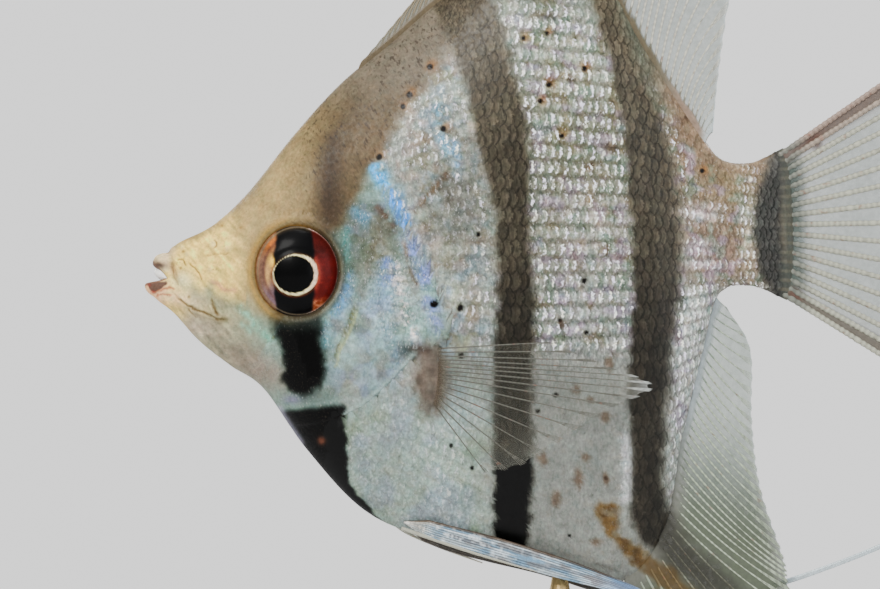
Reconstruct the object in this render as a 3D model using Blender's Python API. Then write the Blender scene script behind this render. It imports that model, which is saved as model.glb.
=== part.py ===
"""Freshwater angelfish, life size, as a still model on a flat stand.

Lengths are millimetres in the fish's own frame until at() turns them into metres in the world.
In the fish's frame X runs from the snout to the tail, Y to the fish's right and Z up from the axis
through the tail. The fish faces -X, and its left side faces -Y.
"""

import math

import bmesh
import bpy
from mathutils import Vector

MM = 0.001
GAP = 0.3  # slit between neighbouring pieces
LEFT, RIGHT = -1, 1
SIDES = {"left": LEFT, "right": RIGHT}

# The stand carries the fish above the middle of its base.
ROD_STATION = 49.3  # distance of the rod behind the snout
AXIS_HEIGHT = 101.0  # height of the fish's axis over the floor
BASE_LENGTH, BASE_DEPTH, BASE_HEIGHT = 84.0, 56.0, 8.0
BASE_CORNER, BASE_CHAMFER = 7.0, 1.0
ROD_RADIUS, ROD_TIP_RADIUS, ROD_TIP_TAPER = 1.5, 0.9, 3.0
COLLAR_RADIUS, COLLAR_HEIGHT, COLLAR_EDGE = 5.0, 2.2, 0.5
ROD_SIDES = 20

# One row for each station of the body: the point on the back, the point on the belly
# and half the thickness there.
BODY = (
    (0.7, -2.9, -0.3, -5.2, 0.9),  # lips
    (2.2, -1.4, 0.6, -6.7, 1.5),
    (4.2, -0.1, 3.2, -8.7, 2.1),
    (7.9, 1.8, 6.2, -12.0, 3.0),  # snout
    (12.0, 5.6, 10.0, -15.0, 4.2),
    (17.3, 12.3, 14.0, -17.8, 5.2),  # eye
    (22.9, 18.5, 19.1, -25.0, 5.9),
    (29.0, 23.6, 26.0, -32.3, 6.3),  # nape and breast
    (36.0, 29.6, 34.0, -35.7, 6.5),
    (46.0, 36.1, 45.5, -38.3, 6.4),  # top of the back
    (54.5, 31.0, 56.2, -40.9, 5.8),  # vent
    (58.9, 23.8, 61.6, -35.0, 5.0),
    (63.0, 17.3, 64.0, -23.5, 4.0),
    (66.6, 11.9, 66.4, -13.5, 3.1),
    (68.9, 9.5, 68.4, -6.4, 2.5),
    (72.3, 9.3, 72.3, -5.5, 2.0),  # narrowest part of the tail
    (75.9, 11.0, 76.4, -7.2, 1.5),  # root of the tail fin
)
BACK, BELLY = (0, 1), (2, 3)  # columns of BODY
RINGS_PER_STATION = 3
RING_SIDES = 24
BULGE, EDGE = 2.2, 0.75  # how full the cross-section is, and how blunt its two edges are

# Slits that part the body, as lines in the side view. They run right through it.
GILL_SLIT = (
    (25.2, 24.0),
    (27.6, 12.0),
    (30.6, 1.5),
    (34.2, -5.3),
    (36.0, -10.0),
    (35.6, -12.2),
    (32.6, -13.6),
    (29.6, -16.6),
    (26.0, -20.2),
    (22.0, -21.8),
    (14.0, -23.4),
)
TAIL_SLIT = ((70.6, 14.0), (70.2, 2.0), (70.6, -10.0))
SNOUT_SLIT = ((2.7, 1.0), (3.7, -2.7), (5.9, -3.9), (7.2, -5.6), (8.9, -9.4))
GAPE_SLIT = ((2.1, -4.5), (3.1, -6.3), (4.7, -7.3), (6.4, -8.1), (8.9, -9.4), (9.6, -9.8))
CHIN_SLIT = ((8.9, -9.3), (9.6, -12.4), (8.0, -16.0))
MOUTH = ((-3.0, -3.4), (1.2, -3.3), (2.6, -4.8), (0.4, -5.2), (-3.0, -5.4))  # open, seen from the side

# Front edge of the gill cover. Behind, the cover ends at the gill slit.
COVER_FRONT = (
    (34.0, 3.0),
    (30.0, 0.9),
    (27.6, -0.9),
    (25.8, -4.3),
    (24.6, -8.0),
    (23.1, -11.4),
    (22.6, -15.0),
    (23.1, -18.6),
    (24.4, -22.6),
)
COVER_BEHIND = ((40.0, -20.0), (40.0, 0.0))
COVER_DEPTH = 3.3  # distance of its flat inner face from the fish's middle

EYE_X, EYE_Z = 18.15, -3.7
EYE_RADII = (5.05, 2.7, 5.5)
EYE_OUT = 4.0  # distance of its centre from the fish's middle
EYE_SEGMENTS, EYE_RINGS = 20, 12

# Fins. Each row is one ray: its root, as a station on BODY or a point, and its end.
DORSAL = (
    (6.5, 26.4, 21.9),
    (7.15, 32.0, 28.7),
    (8.0, 41.0, 38.8),
    (8.7, 52.9, 51.4),
    (9.4, 68.4, 65.7),
    (10.15, 87.5, 80.0),  # tip
    (11.1, 78.9, 64.5),
    (11.55, 72.3, 43.0),
    (12.05, 69.6, 28.7),
    (12.6, 68.2, 19.1),
    (13.0, 67.6, 12.9),
)
DORSAL_TIP = 5
ANAL = (
    (10.1, 57.3, -42.4),
    (10.4, 64.9, -48.4),
    (10.7, 78.0, -59.4),
    (10.95, 112.0, -83.0),  # tip
    (11.08, 88.1, -59.7),
    (11.2, 78.9, -46.6),
    (11.45, 76.7, -41.2),
    (11.8, 76.1, -38.0),
    (12.3, 73.3, -29.5),
    (12.85, 72.3, -21.5),
    (13.4, 72.1, -13.1),
    (13.85, 69.3, -8.1),
)
ANAL_TIP = 3
CAUDAL = (
    (76.4, 10.7, 104.0, 29.8),
    (76.6, 6.5, 101.2, 17.0),
    (76.8, 1.9, 100.1, 2.4),
    (76.9, -2.6, 101.0, -11.5),
    (77.0, -7.0, 103.5, -23.6),
)
PECTORAL = (
    (35.1, -12.9, 48.0, -12.3),
    (35.3, -14.0, 54.7, -14.9),
    (35.5, -15.2, 60.1, -17.3),
    (35.5, -16.4, 55.3, -19.9),
    (35.4, -17.6, 49.8, -23.4),
    (35.2, -18.7, 44.8, -26.6),
    (34.9, -19.6, 40.4, -27.6),
)
FIN_ROOT, FIN_MARGIN = 0.45, 0.27  # half thickness where a fin leaves the body, and at its margin
RAY_BEND = 0.07  # how far a ray bows, as a share of its length
RAY_STEPS = 5
PECTORAL_OUT, PECTORAL_FLARE = 6.9, 0.12  # distance from the middle at the root, and how fast it grows

# Pelvic fins: a blade folded back along the belly that ends in a thread. Centre line, then width.
PELVIC = {
    "left": (
        (30.7, -33.6, 2.0),
        (36.2, -35.2, 2.4),
        (42.2, -36.9, 2.7),
        (49.2, -39.0, 2.5),
        (54.1, -40.5, 1.9),
        (58.9, -42.2, 1.2),
        (66.0, -45.7, 0.8),
        (74.4, -49.6, 0.65),
        (84.0, -52.9, 0.6),
        (93.5, -55.0, 0.6),
        (103.1, -55.5, 0.55),
    ),
    "right": (
        (30.7, -33.9, 2.0),
        (35.6, -36.0, 2.4),
        (41.0, -38.2, 2.6),
        (47.4, -40.4, 2.2),
        (54.1, -42.4, 1.5),
        (61.3, -43.6, 0.9),
        (68.4, -43.2, 0.7),
        (76.4, -41.0, 0.65),
        (82.2, -39.0, 0.6),
        (87.5, -36.9, 0.6),
        (93.5, -34.2, 0.6),
        (99.5, -31.2, 0.55),
    ),
}
PELVIC_OUT, PELVIC_SPREAD = 2.35, 0.016  # distance from the middle at the root, and how fast it grows
PELVIC_THICKNESS = 0.7
THREAD_THICKNESS = 0.55
STEPS_PER_PELVIC_ROW = 2

SKIN_COLOUR = (0.36, 0.35, 0.30)
FIN_COLOUR = (0.42, 0.41, 0.37)
EYE_COLOUR = (0.22, 0.04, 0.03)
BASE_COLOUR = (0.16, 0.09, 0.05)
ROD_COLOUR = (0.72, 0.53, 0.26)


def at(x, y, z):
    """The world place, in metres, of a point in the fish's frame."""
    return Vector((x - ROD_STATION, y, z + AXIS_HEIGHT)) * MM


def clear_scene():
    for old in list(bpy.data.objects):
        bpy.data.objects.remove(old, do_unlink=True)


def smooth(rows, place, corner=None):
    """The row at a fractional place, on a curve through all rows that may turn sharply at one of them."""
    first = min(int(place), len(rows) - 2)
    share = place - first

    def slope(index, ahead):
        low, high = max(index - 1, 0), min(index + 1, len(rows) - 1)
        if index == corner:
            low, high = (index, index + 1) if ahead else (index - 1, index)
        return [(b - a) / (high - low) for a, b in zip(rows[low], rows[high])]

    leave, reach = slope(first, True), slope(first + 1, False)
    square, cube = share**2, share**3
    return tuple(
        (2 * cube - 3 * square + 1) * a
        + (cube - 2 * square + share) * m
        + (3 * square - 2 * cube) * b
        + (cube - square) * n
        for a, b, m, n in zip(rows[first], rows[first + 1], leave, reach)
    )


def material(name, colour, roughness, metallic=0.0):
    made = bpy.data.materials.get(name) or bpy.data.materials.new(name)
    made.use_nodes = True
    shader = made.node_tree.nodes["Principled BSDF"]
    shader.inputs["Base Color"].default_value = (*colour, 1.0)
    shader.inputs["Roughness"].default_value = roughness
    shader.inputs["Metallic"].default_value = metallic
    return made


def add_object(name, bm, finish=None):
    """A named object from a closed bmesh, with outward normals."""
    bmesh.ops.recalc_face_normals(bm, faces=bm.faces)
    if bm.calc_volume(signed=True) < 0:
        bmesh.ops.reverse_faces(bm, faces=bm.faces)
    mesh = bpy.data.meshes.new(name)
    bm.to_mesh(mesh)
    bm.free()
    made = bpy.data.objects.new(name, mesh)
    bpy.context.collection.objects.link(made)
    if finish:
        mesh.materials.append(finish)
        mesh.shade_smooth()
        mesh.set_sharp_from_angle(angle=math.radians(35))
    return made


def skin_of(name):
    return material(name, SKIN_COLOUR, 0.35)


def prism(name, outline, near, far):
    """A cutter: an outline in the side view, drawn out along Y from near to far."""
    bm = bmesh.new()
    face = bm.faces.new([bm.verts.new(at(x, near, z)) for x, z in outline])
    drawn = bmesh.ops.extrude_face_region(bm, geom=[face])
    moved = [v for v in drawn["geom"] if isinstance(v, bmesh.types.BMVert)]
    bmesh.ops.translate(bm, verts=moved, vec=Vector((0.0, far - near, 0.0)) * MM)
    cutter = add_object(name, bm)
    cutter.hide_render = True
    cutter.display_type = "WIRE"
    return cutter


def offset(line, distance):
    """A line moved sideways, with mitred corners."""
    points = [Vector(p) for p in line]
    runs = [(b - a).normalized() for a, b in zip(points, points[1:])]
    moved = []
    for i, point in enumerate(points):
        before, after = runs[max(i - 1, 0)], runs[min(i, len(runs) - 1)]
        mean = (before + after).normalized()
        side = Vector((-mean.y, mean.x))
        moved.append(tuple(point + side * distance / mean.dot(after)))
    return moved


def slit(name, line):
    """A cutter GAP wide along a line, right through the body."""
    return prism(name, offset(line, GAP / 2) + offset(line, -GAP / 2)[::-1], -20.0, 20.0)


def cut(target, cutter, operation):
    """The target's mesh after one Boolean with the cutter, which is then removed."""
    change = target.modifiers.new("cut", "BOOLEAN")
    change.object = cutter
    change.operation = operation
    change.solver = "EXACT"
    ready = target.evaluated_get(bpy.context.evaluated_depsgraph_get())
    mesh = bpy.data.meshes.new_from_object(ready)
    target.modifiers.clear()
    target.data = mesh
    bpy.data.objects.remove(cutter, do_unlink=True)
    return target


def copy_of(source, name):
    twin = bpy.data.objects.new(name, source.data.copy())
    twin.data.name = name
    bpy.context.collection.objects.link(twin)
    return twin


def body_ring(bm, station):
    """One cross-section from the back round the left side to the belly, and up the right side."""
    back_x, back_z, belly_x, belly_z, half = smooth(BODY, station)
    ring = []
    for i in range(RING_SIDES):
        turn = 2 * math.pi * i / RING_SIDES
        across = math.cos(turn)
        share = (1 - across) / 2
        side = 0 if i % (RING_SIDES // 2) == 0 else math.copysign(1, -math.sin(turn))
        width = side * half * (1 - min(abs(across), 1.0) ** BULGE) ** EDGE
        x = back_x + (belly_x - back_x) * share
        z = back_z + (belly_z - back_z) * share
        ring.append(bm.verts.new(at(x, width, z)))
    return ring


def whole_body():
    """Head, trunk and tail as one closed solid."""
    bm = bmesh.new()
    steps = (len(BODY) - 1) * RINGS_PER_STATION
    rings = [body_ring(bm, i / RINGS_PER_STATION) for i in range(steps + 1)]
    for ring, following in zip(rings, rings[1:]):
        for i in range(RING_SIDES):
            j = (i + 1) % RING_SIDES
            bm.faces.new((ring[i], ring[j], following[j], following[i]))
    bm.faces.new(rings[0])
    bm.faces.new(rings[-1][::-1])
    return add_object("body", bm)


def part_body(body):
    """Cuts the body with slits and gives each loose piece its name."""
    cut(body, prism("mouth", MOUTH, -20.0, 20.0), "DIFFERENCE")
    for line in (GAPE_SLIT, CHIN_SLIT, SNOUT_SLIT, GILL_SLIT, TAIL_SLIT):
        cut(body, slit("slit", line), "DIFFERENCE")
    middles = {
        "head": (18.0, -4.0),
        "upper_jaw": (4.6, -4.9),
        "lower_jaw": (4.4, -9.3),
        "trunk": (48.0, -2.0),
        "tail": (73.5, 2.0),
    }
    bm = bmesh.new()
    bm.from_mesh(body.data)
    pieces = []
    seen = set()
    for start in bm.faces:
        if start in seen:
            continue
        found, queue = set(), [start]
        while queue:
            face = queue.pop()
            if face in found:
                continue
            found.add(face)
            queue += [other for edge in face.edges for other in edge.link_faces]
        seen |= found
        pieces.append(found)
    made = {}
    for found in pieces:
        corners = {v for face in found for v in face.verts}
        low = Vector([min(v.co[i] for v in corners) for i in range(3)])
        high = Vector([max(v.co[i] for v in corners) for i in range(3)])
        middle = (low + high) / 2
        name = min(middles, key=lambda n: (at(middles[n][0], 0.0, middles[n][1]) - middle).length)
        piece = bmesh.new()
        twins = {v: piece.verts.new(v.co) for v in sorted(corners, key=lambda v: v.index)}
        for face in sorted(found, key=lambda f: f.index):
            piece.faces.new([twins[v] for v in face.verts])
        made[name] = add_object(name, piece, skin_of(name))
    bm.free()
    bpy.data.objects.remove(body, do_unlink=True)
    return made


def eyeball(name, side, grown=0.0):
    """A flattened ball with its poles towards the fish's sides."""
    bm = bmesh.new()
    bmesh.ops.create_uvsphere(bm, u_segments=EYE_SEGMENTS, v_segments=EYE_RINGS, radius=1.0)
    radii = [radius + grown for radius in EYE_RADII]
    middle = at(EYE_X, side * EYE_OUT, EYE_Z)
    for vert in bm.verts:
        across, deep, up = vert.co.x, vert.co.z, vert.co.y
        vert.co = middle + Vector((across * radii[0], deep * radii[1], up * radii[2])) * MM
    finish = None if grown else material(name, EYE_COLOUR, 0.08)
    return add_object(name, bm, finish)


def finish_head(head):
    """Cuts the gill covers out of the sides of the head, and the two sockets for the eyes."""
    front = list(COVER_FRONT)
    for word, side in SIDES.items():
        outline = front + list(COVER_BEHIND)
        pocket_outline = offset(front, -GAP) + list(COVER_BEHIND)
        name = "gill_cover_" + word
        cover = copy_of(head, name)
        cover.data.materials.clear()
        cut(cover, prism("cover", outline, side * COVER_DEPTH, side * 20.0), "INTERSECT")
        cover.data.name = name
        cover.data.materials.append(skin_of(name))
        pocket = prism("pocket", pocket_outline, side * (COVER_DEPTH - GAP), side * 20.0)
        cut(head, pocket, "DIFFERENCE")
    for word, side in SIDES.items():
        cut(head, eyeball("socket", side, GAP), "DIFFERENCE")
        eyeball("eye_" + word, side)
    head.data.materials.clear()
    head.data.materials.append(skin_of("head"))


def tidy(piece):
    """Clears what a Boolean leaves: doubled points, stray edges and flat shading."""
    bm = bmesh.new()
    bm.from_mesh(piece.data)
    bmesh.ops.remove_doubles(bm, verts=bm.verts, dist=0.01 * MM)
    bmesh.ops.dissolve_degenerate(bm, edges=bm.edges, dist=0.01 * MM)
    bmesh.ops.triangulate(bm, faces=[f for f in bm.faces if len(f.verts) > 4])
    bmesh.ops.recalc_face_normals(bm, faces=bm.faces)
    bm.to_mesh(piece.data)
    bm.free()
    piece.data.shade_smooth()
    piece.data.set_sharp_from_angle(angle=math.radians(35))


def root_on(columns, station):
    """A point GAP outside the back or the belly at a station."""
    side = 1 if columns == BACK else -1
    here = [smooth(BODY, station)[c] for c in columns]
    before = [smooth(BODY, station - 0.02)[c] for c in columns]
    after = [smooth(BODY, station + 0.02)[c] for c in columns]
    run = Vector((after[0] - before[0], after[1] - before[1])).normalized()
    out = Vector((-run.y, run.x)) * side
    return here[0] + out.x * GAP, here[1] + out.y * GAP


def rays_from_body(rows, columns, tip, steps):
    """Root and end of each ray of a fin that stands on the back or the belly."""
    rays = []
    for i in range(steps + 1):
        station, end_x, end_z = smooth(rows, (len(rows) - 1) * i / steps, tip)
        rays.append((*root_on(columns, station), end_x, end_z))
    return rays


def rays_between(rows, steps):
    return [smooth(rows, (len(rows) - 1) * i / steps) for i in range(steps + 1)]


def ray_point(ray, share, bend):
    """A point on a ray, which leaves its root steeply and then sweeps back."""
    root, end = Vector(ray[:2]), Vector(ray[2:])
    run = end - root
    bow = Vector((-run.y, run.x)) * bend * 4 * share * (1 - share)
    return root + run * share + bow


def fin(name, rays, bend, middle):
    """A webbed fin as one plate, thick at its roots. middle(x, z) gives its distance from Y = 0."""
    bm = bmesh.new()
    sheets = []
    for side in (-1, 1):
        sheet = []
        for ray in rays:
            row = []
            for i in range(RAY_STEPS + 1):
                share = i / RAY_STEPS
                x, z = ray_point(ray, share, bend)
                half = FIN_ROOT + (FIN_MARGIN - FIN_ROOT) * share
                row.append(bm.verts.new(at(x, middle(x, z) + side * half, z)))
            sheet.append(row)
        sheets.append(sheet)
    last_ray, last_step = len(rays) - 1, RAY_STEPS
    for sheet in sheets:
        for a, b in zip(sheet, sheet[1:]):
            for i in range(RAY_STEPS):
                bm.faces.new((a[i], b[i], b[i + 1], a[i + 1]))
    border = [(i, 0) for i in range(last_ray)]
    border += [(last_ray, i) for i in range(last_step)]
    border += [(i, last_step) for i in range(last_ray, 0, -1)]
    border += [(0, i) for i in range(last_step, 0, -1)]
    near, far = sheets
    for (a, b), (c, d) in zip(border, border[1:] + border[:1]):
        bm.faces.new((near[a][b], near[c][d], far[c][d], far[a][b]))
    return add_object(name, bm, material(name, FIN_COLOUR, 0.4))


def middle_fins():
    fin("dorsal_fin", rays_from_body(DORSAL, BACK, DORSAL_TIP, 26), RAY_BEND, lambda x, z: 0.0)
    fin("anal_fin", rays_from_body(ANAL, BELLY, ANAL_TIP, 26), -RAY_BEND / 2, lambda x, z: 0.0)
    fin("caudal_fin", rays_between(CAUDAL, 16), 0.0, lambda x, z: 0.0)


def pectoral_fins():
    rays = rays_between(PECTORAL, 14)
    for word, side in SIDES.items():

        def flare(x, z, side=side):
            return side * (PECTORAL_OUT + PECTORAL_FLARE * (x - PECTORAL[0][0]))

        fin("pectoral_fin_" + word, rays, 0.0, flare)


def pelvic_fins():
    """Each one is a flattened tube with six sides that narrows to a thread."""
    for word, side in SIDES.items():
        rows = PELVIC[word]
        bm = bmesh.new()
        steps = (len(rows) - 1) * STEPS_PER_PELVIC_ROW
        rings = []
        for i in range(steps + 1):
            place = i / STEPS_PER_PELVIC_ROW
            x, z, width = smooth(rows, place)
            ahead = smooth(rows, min(place + 0.1, len(rows) - 1))
            behind = smooth(rows, max(place - 0.1, 0))
            run = Vector((ahead[0] - behind[0], ahead[1] - behind[1])).normalized()
            thick = PELVIC_THICKNESS + (THREAD_THICKNESS - PELVIC_THICKNESS) * min(1.0, 2 * i / steps)
            y = side * (PELVIC_OUT + PELVIC_SPREAD * (x - rows[0][0]))
            ring = []
            for up, out in ((1, 0), (0.7, 1), (-0.7, 1), (-1, 0), (-0.7, -1), (0.7, -1)):
                across = up * width / 2
                ring.append(bm.verts.new(at(x - run.y * across, y + out * thick / 2, z + run.x * across)))
            rings.append(ring)
        for ring, following in zip(rings, rings[1:]):
            for i in range(len(ring)):
                j = (i + 1) % len(ring)
                bm.faces.new((ring[i], ring[j], following[j], following[i]))
        bm.faces.new(rings[0])
        bm.faces.new(rings[-1][::-1])
        add_object("pelvic_fin_" + word, bm, material("pelvic_fin_" + word, FIN_COLOUR, 0.35))


def stand_base():
    """A flat wooden plate with round corners and a small chamfer along its top."""
    bm = bmesh.new()
    bmesh.ops.create_cube(bm, size=1.0)
    for vert in bm.verts:
        vert.co.x *= BASE_LENGTH * MM
        vert.co.y *= BASE_DEPTH * MM
        vert.co.z = (vert.co.z + 0.5) * BASE_HEIGHT * MM
    upright = [e for e in bm.edges if abs(e.verts[0].co.z - e.verts[1].co.z) > 0.5 * BASE_HEIGHT * MM]
    bmesh.ops.bevel(bm, geom=upright, offset=BASE_CORNER * MM, segments=6, profile=0.5, affect="EDGES")
    top = [e for e in bm.edges if min(v.co.z for v in e.verts) > 0.9 * BASE_HEIGHT * MM]
    bmesh.ops.bevel(bm, geom=top, offset=BASE_CHAMFER * MM, segments=2, profile=0.5, affect="EDGES")
    add_object("stand_base", bm, material("stand_base", BASE_COLOUR, 0.45))


def stand_rod():
    """A turned rod with a collar on the base. Its tapered tip stops just under the belly."""
    belly = min(
        smooth(BODY, i / 40)[3]
        for i in range(8 * 40, 11 * 40)
        if abs(smooth(BODY, i / 40)[2] - ROD_STATION) < ROD_TIP_RADIUS
    )
    foot = BASE_HEIGHT + GAP
    tip = belly + AXIS_HEIGHT - GAP
    profile = (
        (0.0, foot),
        (COLLAR_RADIUS, foot),
        (COLLAR_RADIUS, foot + COLLAR_HEIGHT - COLLAR_EDGE),
        (COLLAR_RADIUS - COLLAR_EDGE, foot + COLLAR_HEIGHT),
        (ROD_RADIUS, foot + COLLAR_HEIGHT),
        (ROD_RADIUS, tip - ROD_TIP_TAPER),
        (ROD_TIP_RADIUS, tip),
        (0.0, tip),
    )
    bm = bmesh.new()
    points = [bm.verts.new(Vector((radius, 0.0, height)) * MM) for radius, height in profile]
    edges = [bm.edges.new(pair) for pair in zip(points, points[1:])]
    turn = {"cent": (0, 0, 0), "axis": (0, 0, 1), "angle": 2 * math.pi, "steps": ROD_SIDES}
    bmesh.ops.spin(bm, geom=points + edges, use_merge=True, **turn)
    bmesh.ops.remove_doubles(bm, verts=bm.verts, dist=0.01 * MM)
    add_object("stand_rod", bm, material("stand_rod", ROD_COLOUR, 0.25, 1.0))


def main():
    clear_scene()
    pieces = part_body(whole_body())
    finish_head(pieces["head"])
    for name in (*pieces, "gill_cover_left", "gill_cover_right"):
        tidy(bpy.data.objects[name])
    middle_fins()
    pectoral_fins()
    pelvic_fins()
    stand_base()
    stand_rod()


main()
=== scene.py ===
"""A freshwater angelfish on its stand: skin, scales, eyes, fins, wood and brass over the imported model.

Lengths are millimetres in the fish's own frame until world() turns them into metres in the world.
In the fish's frame X runs from the snout to the tail, Y to the fish's right and Z up from the axis
through the tail. The fish faces -X, and its left side faces -Y.
"""
import math

import bpy
import numpy as np
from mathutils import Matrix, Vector

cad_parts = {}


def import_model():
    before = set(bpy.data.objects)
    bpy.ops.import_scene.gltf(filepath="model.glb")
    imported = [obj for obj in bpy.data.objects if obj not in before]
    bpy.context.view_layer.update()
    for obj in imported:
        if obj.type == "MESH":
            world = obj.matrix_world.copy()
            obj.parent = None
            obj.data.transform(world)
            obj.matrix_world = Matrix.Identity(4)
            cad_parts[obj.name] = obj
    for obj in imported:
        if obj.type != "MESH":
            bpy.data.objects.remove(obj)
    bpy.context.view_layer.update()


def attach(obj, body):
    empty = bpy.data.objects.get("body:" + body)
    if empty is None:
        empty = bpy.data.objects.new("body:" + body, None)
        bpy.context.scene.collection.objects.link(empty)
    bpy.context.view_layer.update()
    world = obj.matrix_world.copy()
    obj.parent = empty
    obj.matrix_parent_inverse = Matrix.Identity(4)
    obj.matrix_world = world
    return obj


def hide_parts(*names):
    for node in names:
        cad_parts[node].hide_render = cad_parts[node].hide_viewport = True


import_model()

MM = 0.001


# ---------------------------------------------------------------------------------------------
# The form of the body. One skin runs from the lips to the root of the tail fin. It is built as
# rings round the body: each ring leaves the back, goes down the left side to the belly and comes
# up the right side. A place on it is a station, counted along the rows below, and a turn in radians.

ROD_STATION = 49.3  # distance of the stand's rod behind the snout
AXIS_HEIGHT = 101.0  # height of the fish's axis over the floor
BODY = (  # point on the back, point on the belly, half thickness
    (0.7, -2.9, -0.3, -5.2, 0.9),  # lips
    (2.2, -1.4, 0.6, -6.7, 1.5),
    (4.2, -0.1, 3.2, -8.7, 2.1),
    (7.9, 1.8, 6.2, -12.0, 3.0),  # snout
    (12.0, 5.6, 10.0, -15.0, 4.2),
    (17.3, 12.3, 14.0, -17.8, 5.2),  # eye
    (22.9, 18.5, 19.1, -25.0, 5.9),
    (29.0, 23.6, 26.0, -32.3, 6.3),  # nape and breast
    (36.0, 29.6, 34.0, -35.7, 6.5),
    (46.0, 36.1, 45.5, -38.3, 6.4),  # top of the back
    (54.5, 31.0, 56.2, -40.9, 5.8),  # vent
    (58.9, 23.8, 61.6, -35.0, 5.0),
    (63.0, 17.3, 64.0, -23.5, 4.0),
    (66.6, 11.9, 66.4, -13.5, 3.1),
    (68.9, 9.5, 68.4, -6.4, 2.5),
    (72.3, 9.3, 72.3, -5.5, 2.0),  # narrowest part of the tail
    (75.9, 11.0, 76.4, -7.2, 1.5),  # root of the tail fin
)
BACK, BELLY = (0, 1), (2, 3)  # columns of BODY
TAIL_ROOT = len(BODY) - 1
BULGE, EDGE = 2.2, 0.75  # how full the cross-section is, and how blunt its two edges are
GAPE_BACK, GAPE_DOWN = 2.4, -0.65  # how far the corners of the mouth lie behind its upper and lower lip
GAPE_REACH = 2.2  # stations over which that fades


def world(x, y, z):
    """Places in metres, as an array with three columns, of places in the fish's frame."""
    return np.stack([np.asarray(x) - ROD_STATION, np.asarray(y), np.asarray(z) + AXIS_HEIGHT], -1) * MM


def smooth(rows, places, corner=None):
    """Rows at fractional places, on a curve through all rows that may turn sharply at one of them."""
    rows = np.asarray(rows, float)
    last = len(rows) - 1
    index = np.arange(last + 1)
    low, high = np.maximum(index - 1, 0), np.minimum(index + 1, last)
    ahead = (rows[high] - rows[low]) / (high - low)[:, None]
    behind = ahead.copy()
    if corner is not None:
        ahead[corner] = rows[corner + 1] - rows[corner]
        behind[corner] = rows[corner] - rows[corner - 1]
    places = np.clip(np.asarray(places, float), 0, last)
    first = np.minimum(places.astype(int), last - 1)
    t = (places - first)[..., None]
    square, cube = t**2, t**3
    return (
        (2 * cube - 3 * square + 1) * rows[first]
        + (cube - 2 * square + t) * ahead[first]
        + (3 * square - 2 * cube) * rows[first + 1]
        + (cube - square) * behind[first + 1]
    )


def bare_body(station, turn):
    """Places on the body before any fold or groove is worked into it."""
    back_x, back_z, belly_x, belly_z, half = np.moveaxis(smooth(BODY, station), -1, 0)
    across = np.cos(turn)
    share = (1 - across) / 2
    gape = (1 - np.abs(across)) ** 0.9 * np.exp(-((station / GAPE_REACH) ** 2))
    width = half * np.maximum(1 - np.abs(across) ** BULGE, 0) ** EDGE
    x = back_x + (belly_x - back_x) * share + GAPE_BACK * gape
    z = back_z + (belly_z - back_z) * share + GAPE_DOWN * gape
    return np.stack([x, -np.sign(np.sin(turn)) * width, z], -1)


def step(low, high, value):
    """0 below low, 1 above high and a soft rise between them."""
    t = np.clip((value - low) / (high - low), 0, 1)
    return t * t * (3 - 2 * t)


def hump(distance, width):
    """1 at distance 0, falling away like a bell."""
    return np.exp(-((distance / width) ** 2))


def near(x, z, line, reach=None):
    """Distance from a line in the side view, place along it from 0 to 1, and the side of it: 1 or -1.

    With a reach, only places that near to the line's box are measured, and the others count as far off.
    """
    nearest, place, side = np.full(np.shape(x), 1e6), np.zeros(np.shape(x)), np.ones(np.shape(x))
    if reach is not None:
        along, up = np.array(line).T
        close = (x > along.min() - reach) & (x < along.max() + reach)
        close &= (z > up.min() - reach) & (z < up.max() + reach)
        nearest[close], place[close], side[close] = near(x[close], z[close], line)
        return nearest, place, side
    for i, ((ax, az), (bx, bz)) in enumerate(zip(line, line[1:])):
        run_x, run_z = bx - ax, bz - az
        t = np.clip(((x - ax) * run_x + (z - az) * run_z) / (run_x**2 + run_z**2), 0, 1)
        off_x, off_z = x - ax - t * run_x, z - az - t * run_z
        distance = np.hypot(off_x, off_z)
        closer = distance < nearest
        nearest = np.where(closer, distance, nearest)
        place = np.where(closer, (i + t) / (len(line) - 1), place)
        side = np.where(closer, np.sign(run_x * off_z - run_z * off_x), side)
    return nearest, place, side


def curve(points, steps=6):
    """A drawn line with smooth bends."""
    return smooth(points, np.linspace(0, len(points) - 1, (len(points) - 1) * steps + 1)).tolist()


def cells(x, z, seed):
    """A number from 0 to 1 for each whole-numbered cell, always the same for the same cell and seed."""
    mixed = np.sin(x * 127.1 + z * 311.7 + seed * 74.7) * 43758.5453
    return mixed - np.floor(mixed)


def clouds(x, z, size, seed):
    """Soft random patches of about the given size, from 0 to 1."""
    total = 0
    for octave, share in ((1, 0.6), (2, 0.3), (4, 0.1)):
        px, pz = x / size * octave, z / size * octave
        cx, cz = np.floor(px), np.floor(pz)
        tx, tz = step(0, 1, px - cx), step(0, 1, pz - cz)
        low = cells(cx, cz, seed) * (1 - tx) + cells(cx + 1, cz, seed) * tx
        high = cells(cx, cz + 1, seed) * (1 - tx) + cells(cx + 1, cz + 1, seed) * tx
        total = total + share * (low * (1 - tz) + high * tz)
    return total


# ---------------------------------------------------------------------------------------------
# The relief of the skin: lips, jaw folds, nostrils, the sockets of the eyes, the gill covers and
# the fleshy roots of the pectoral fins. Depths are millimetres along the skin's outward normal.

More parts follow.
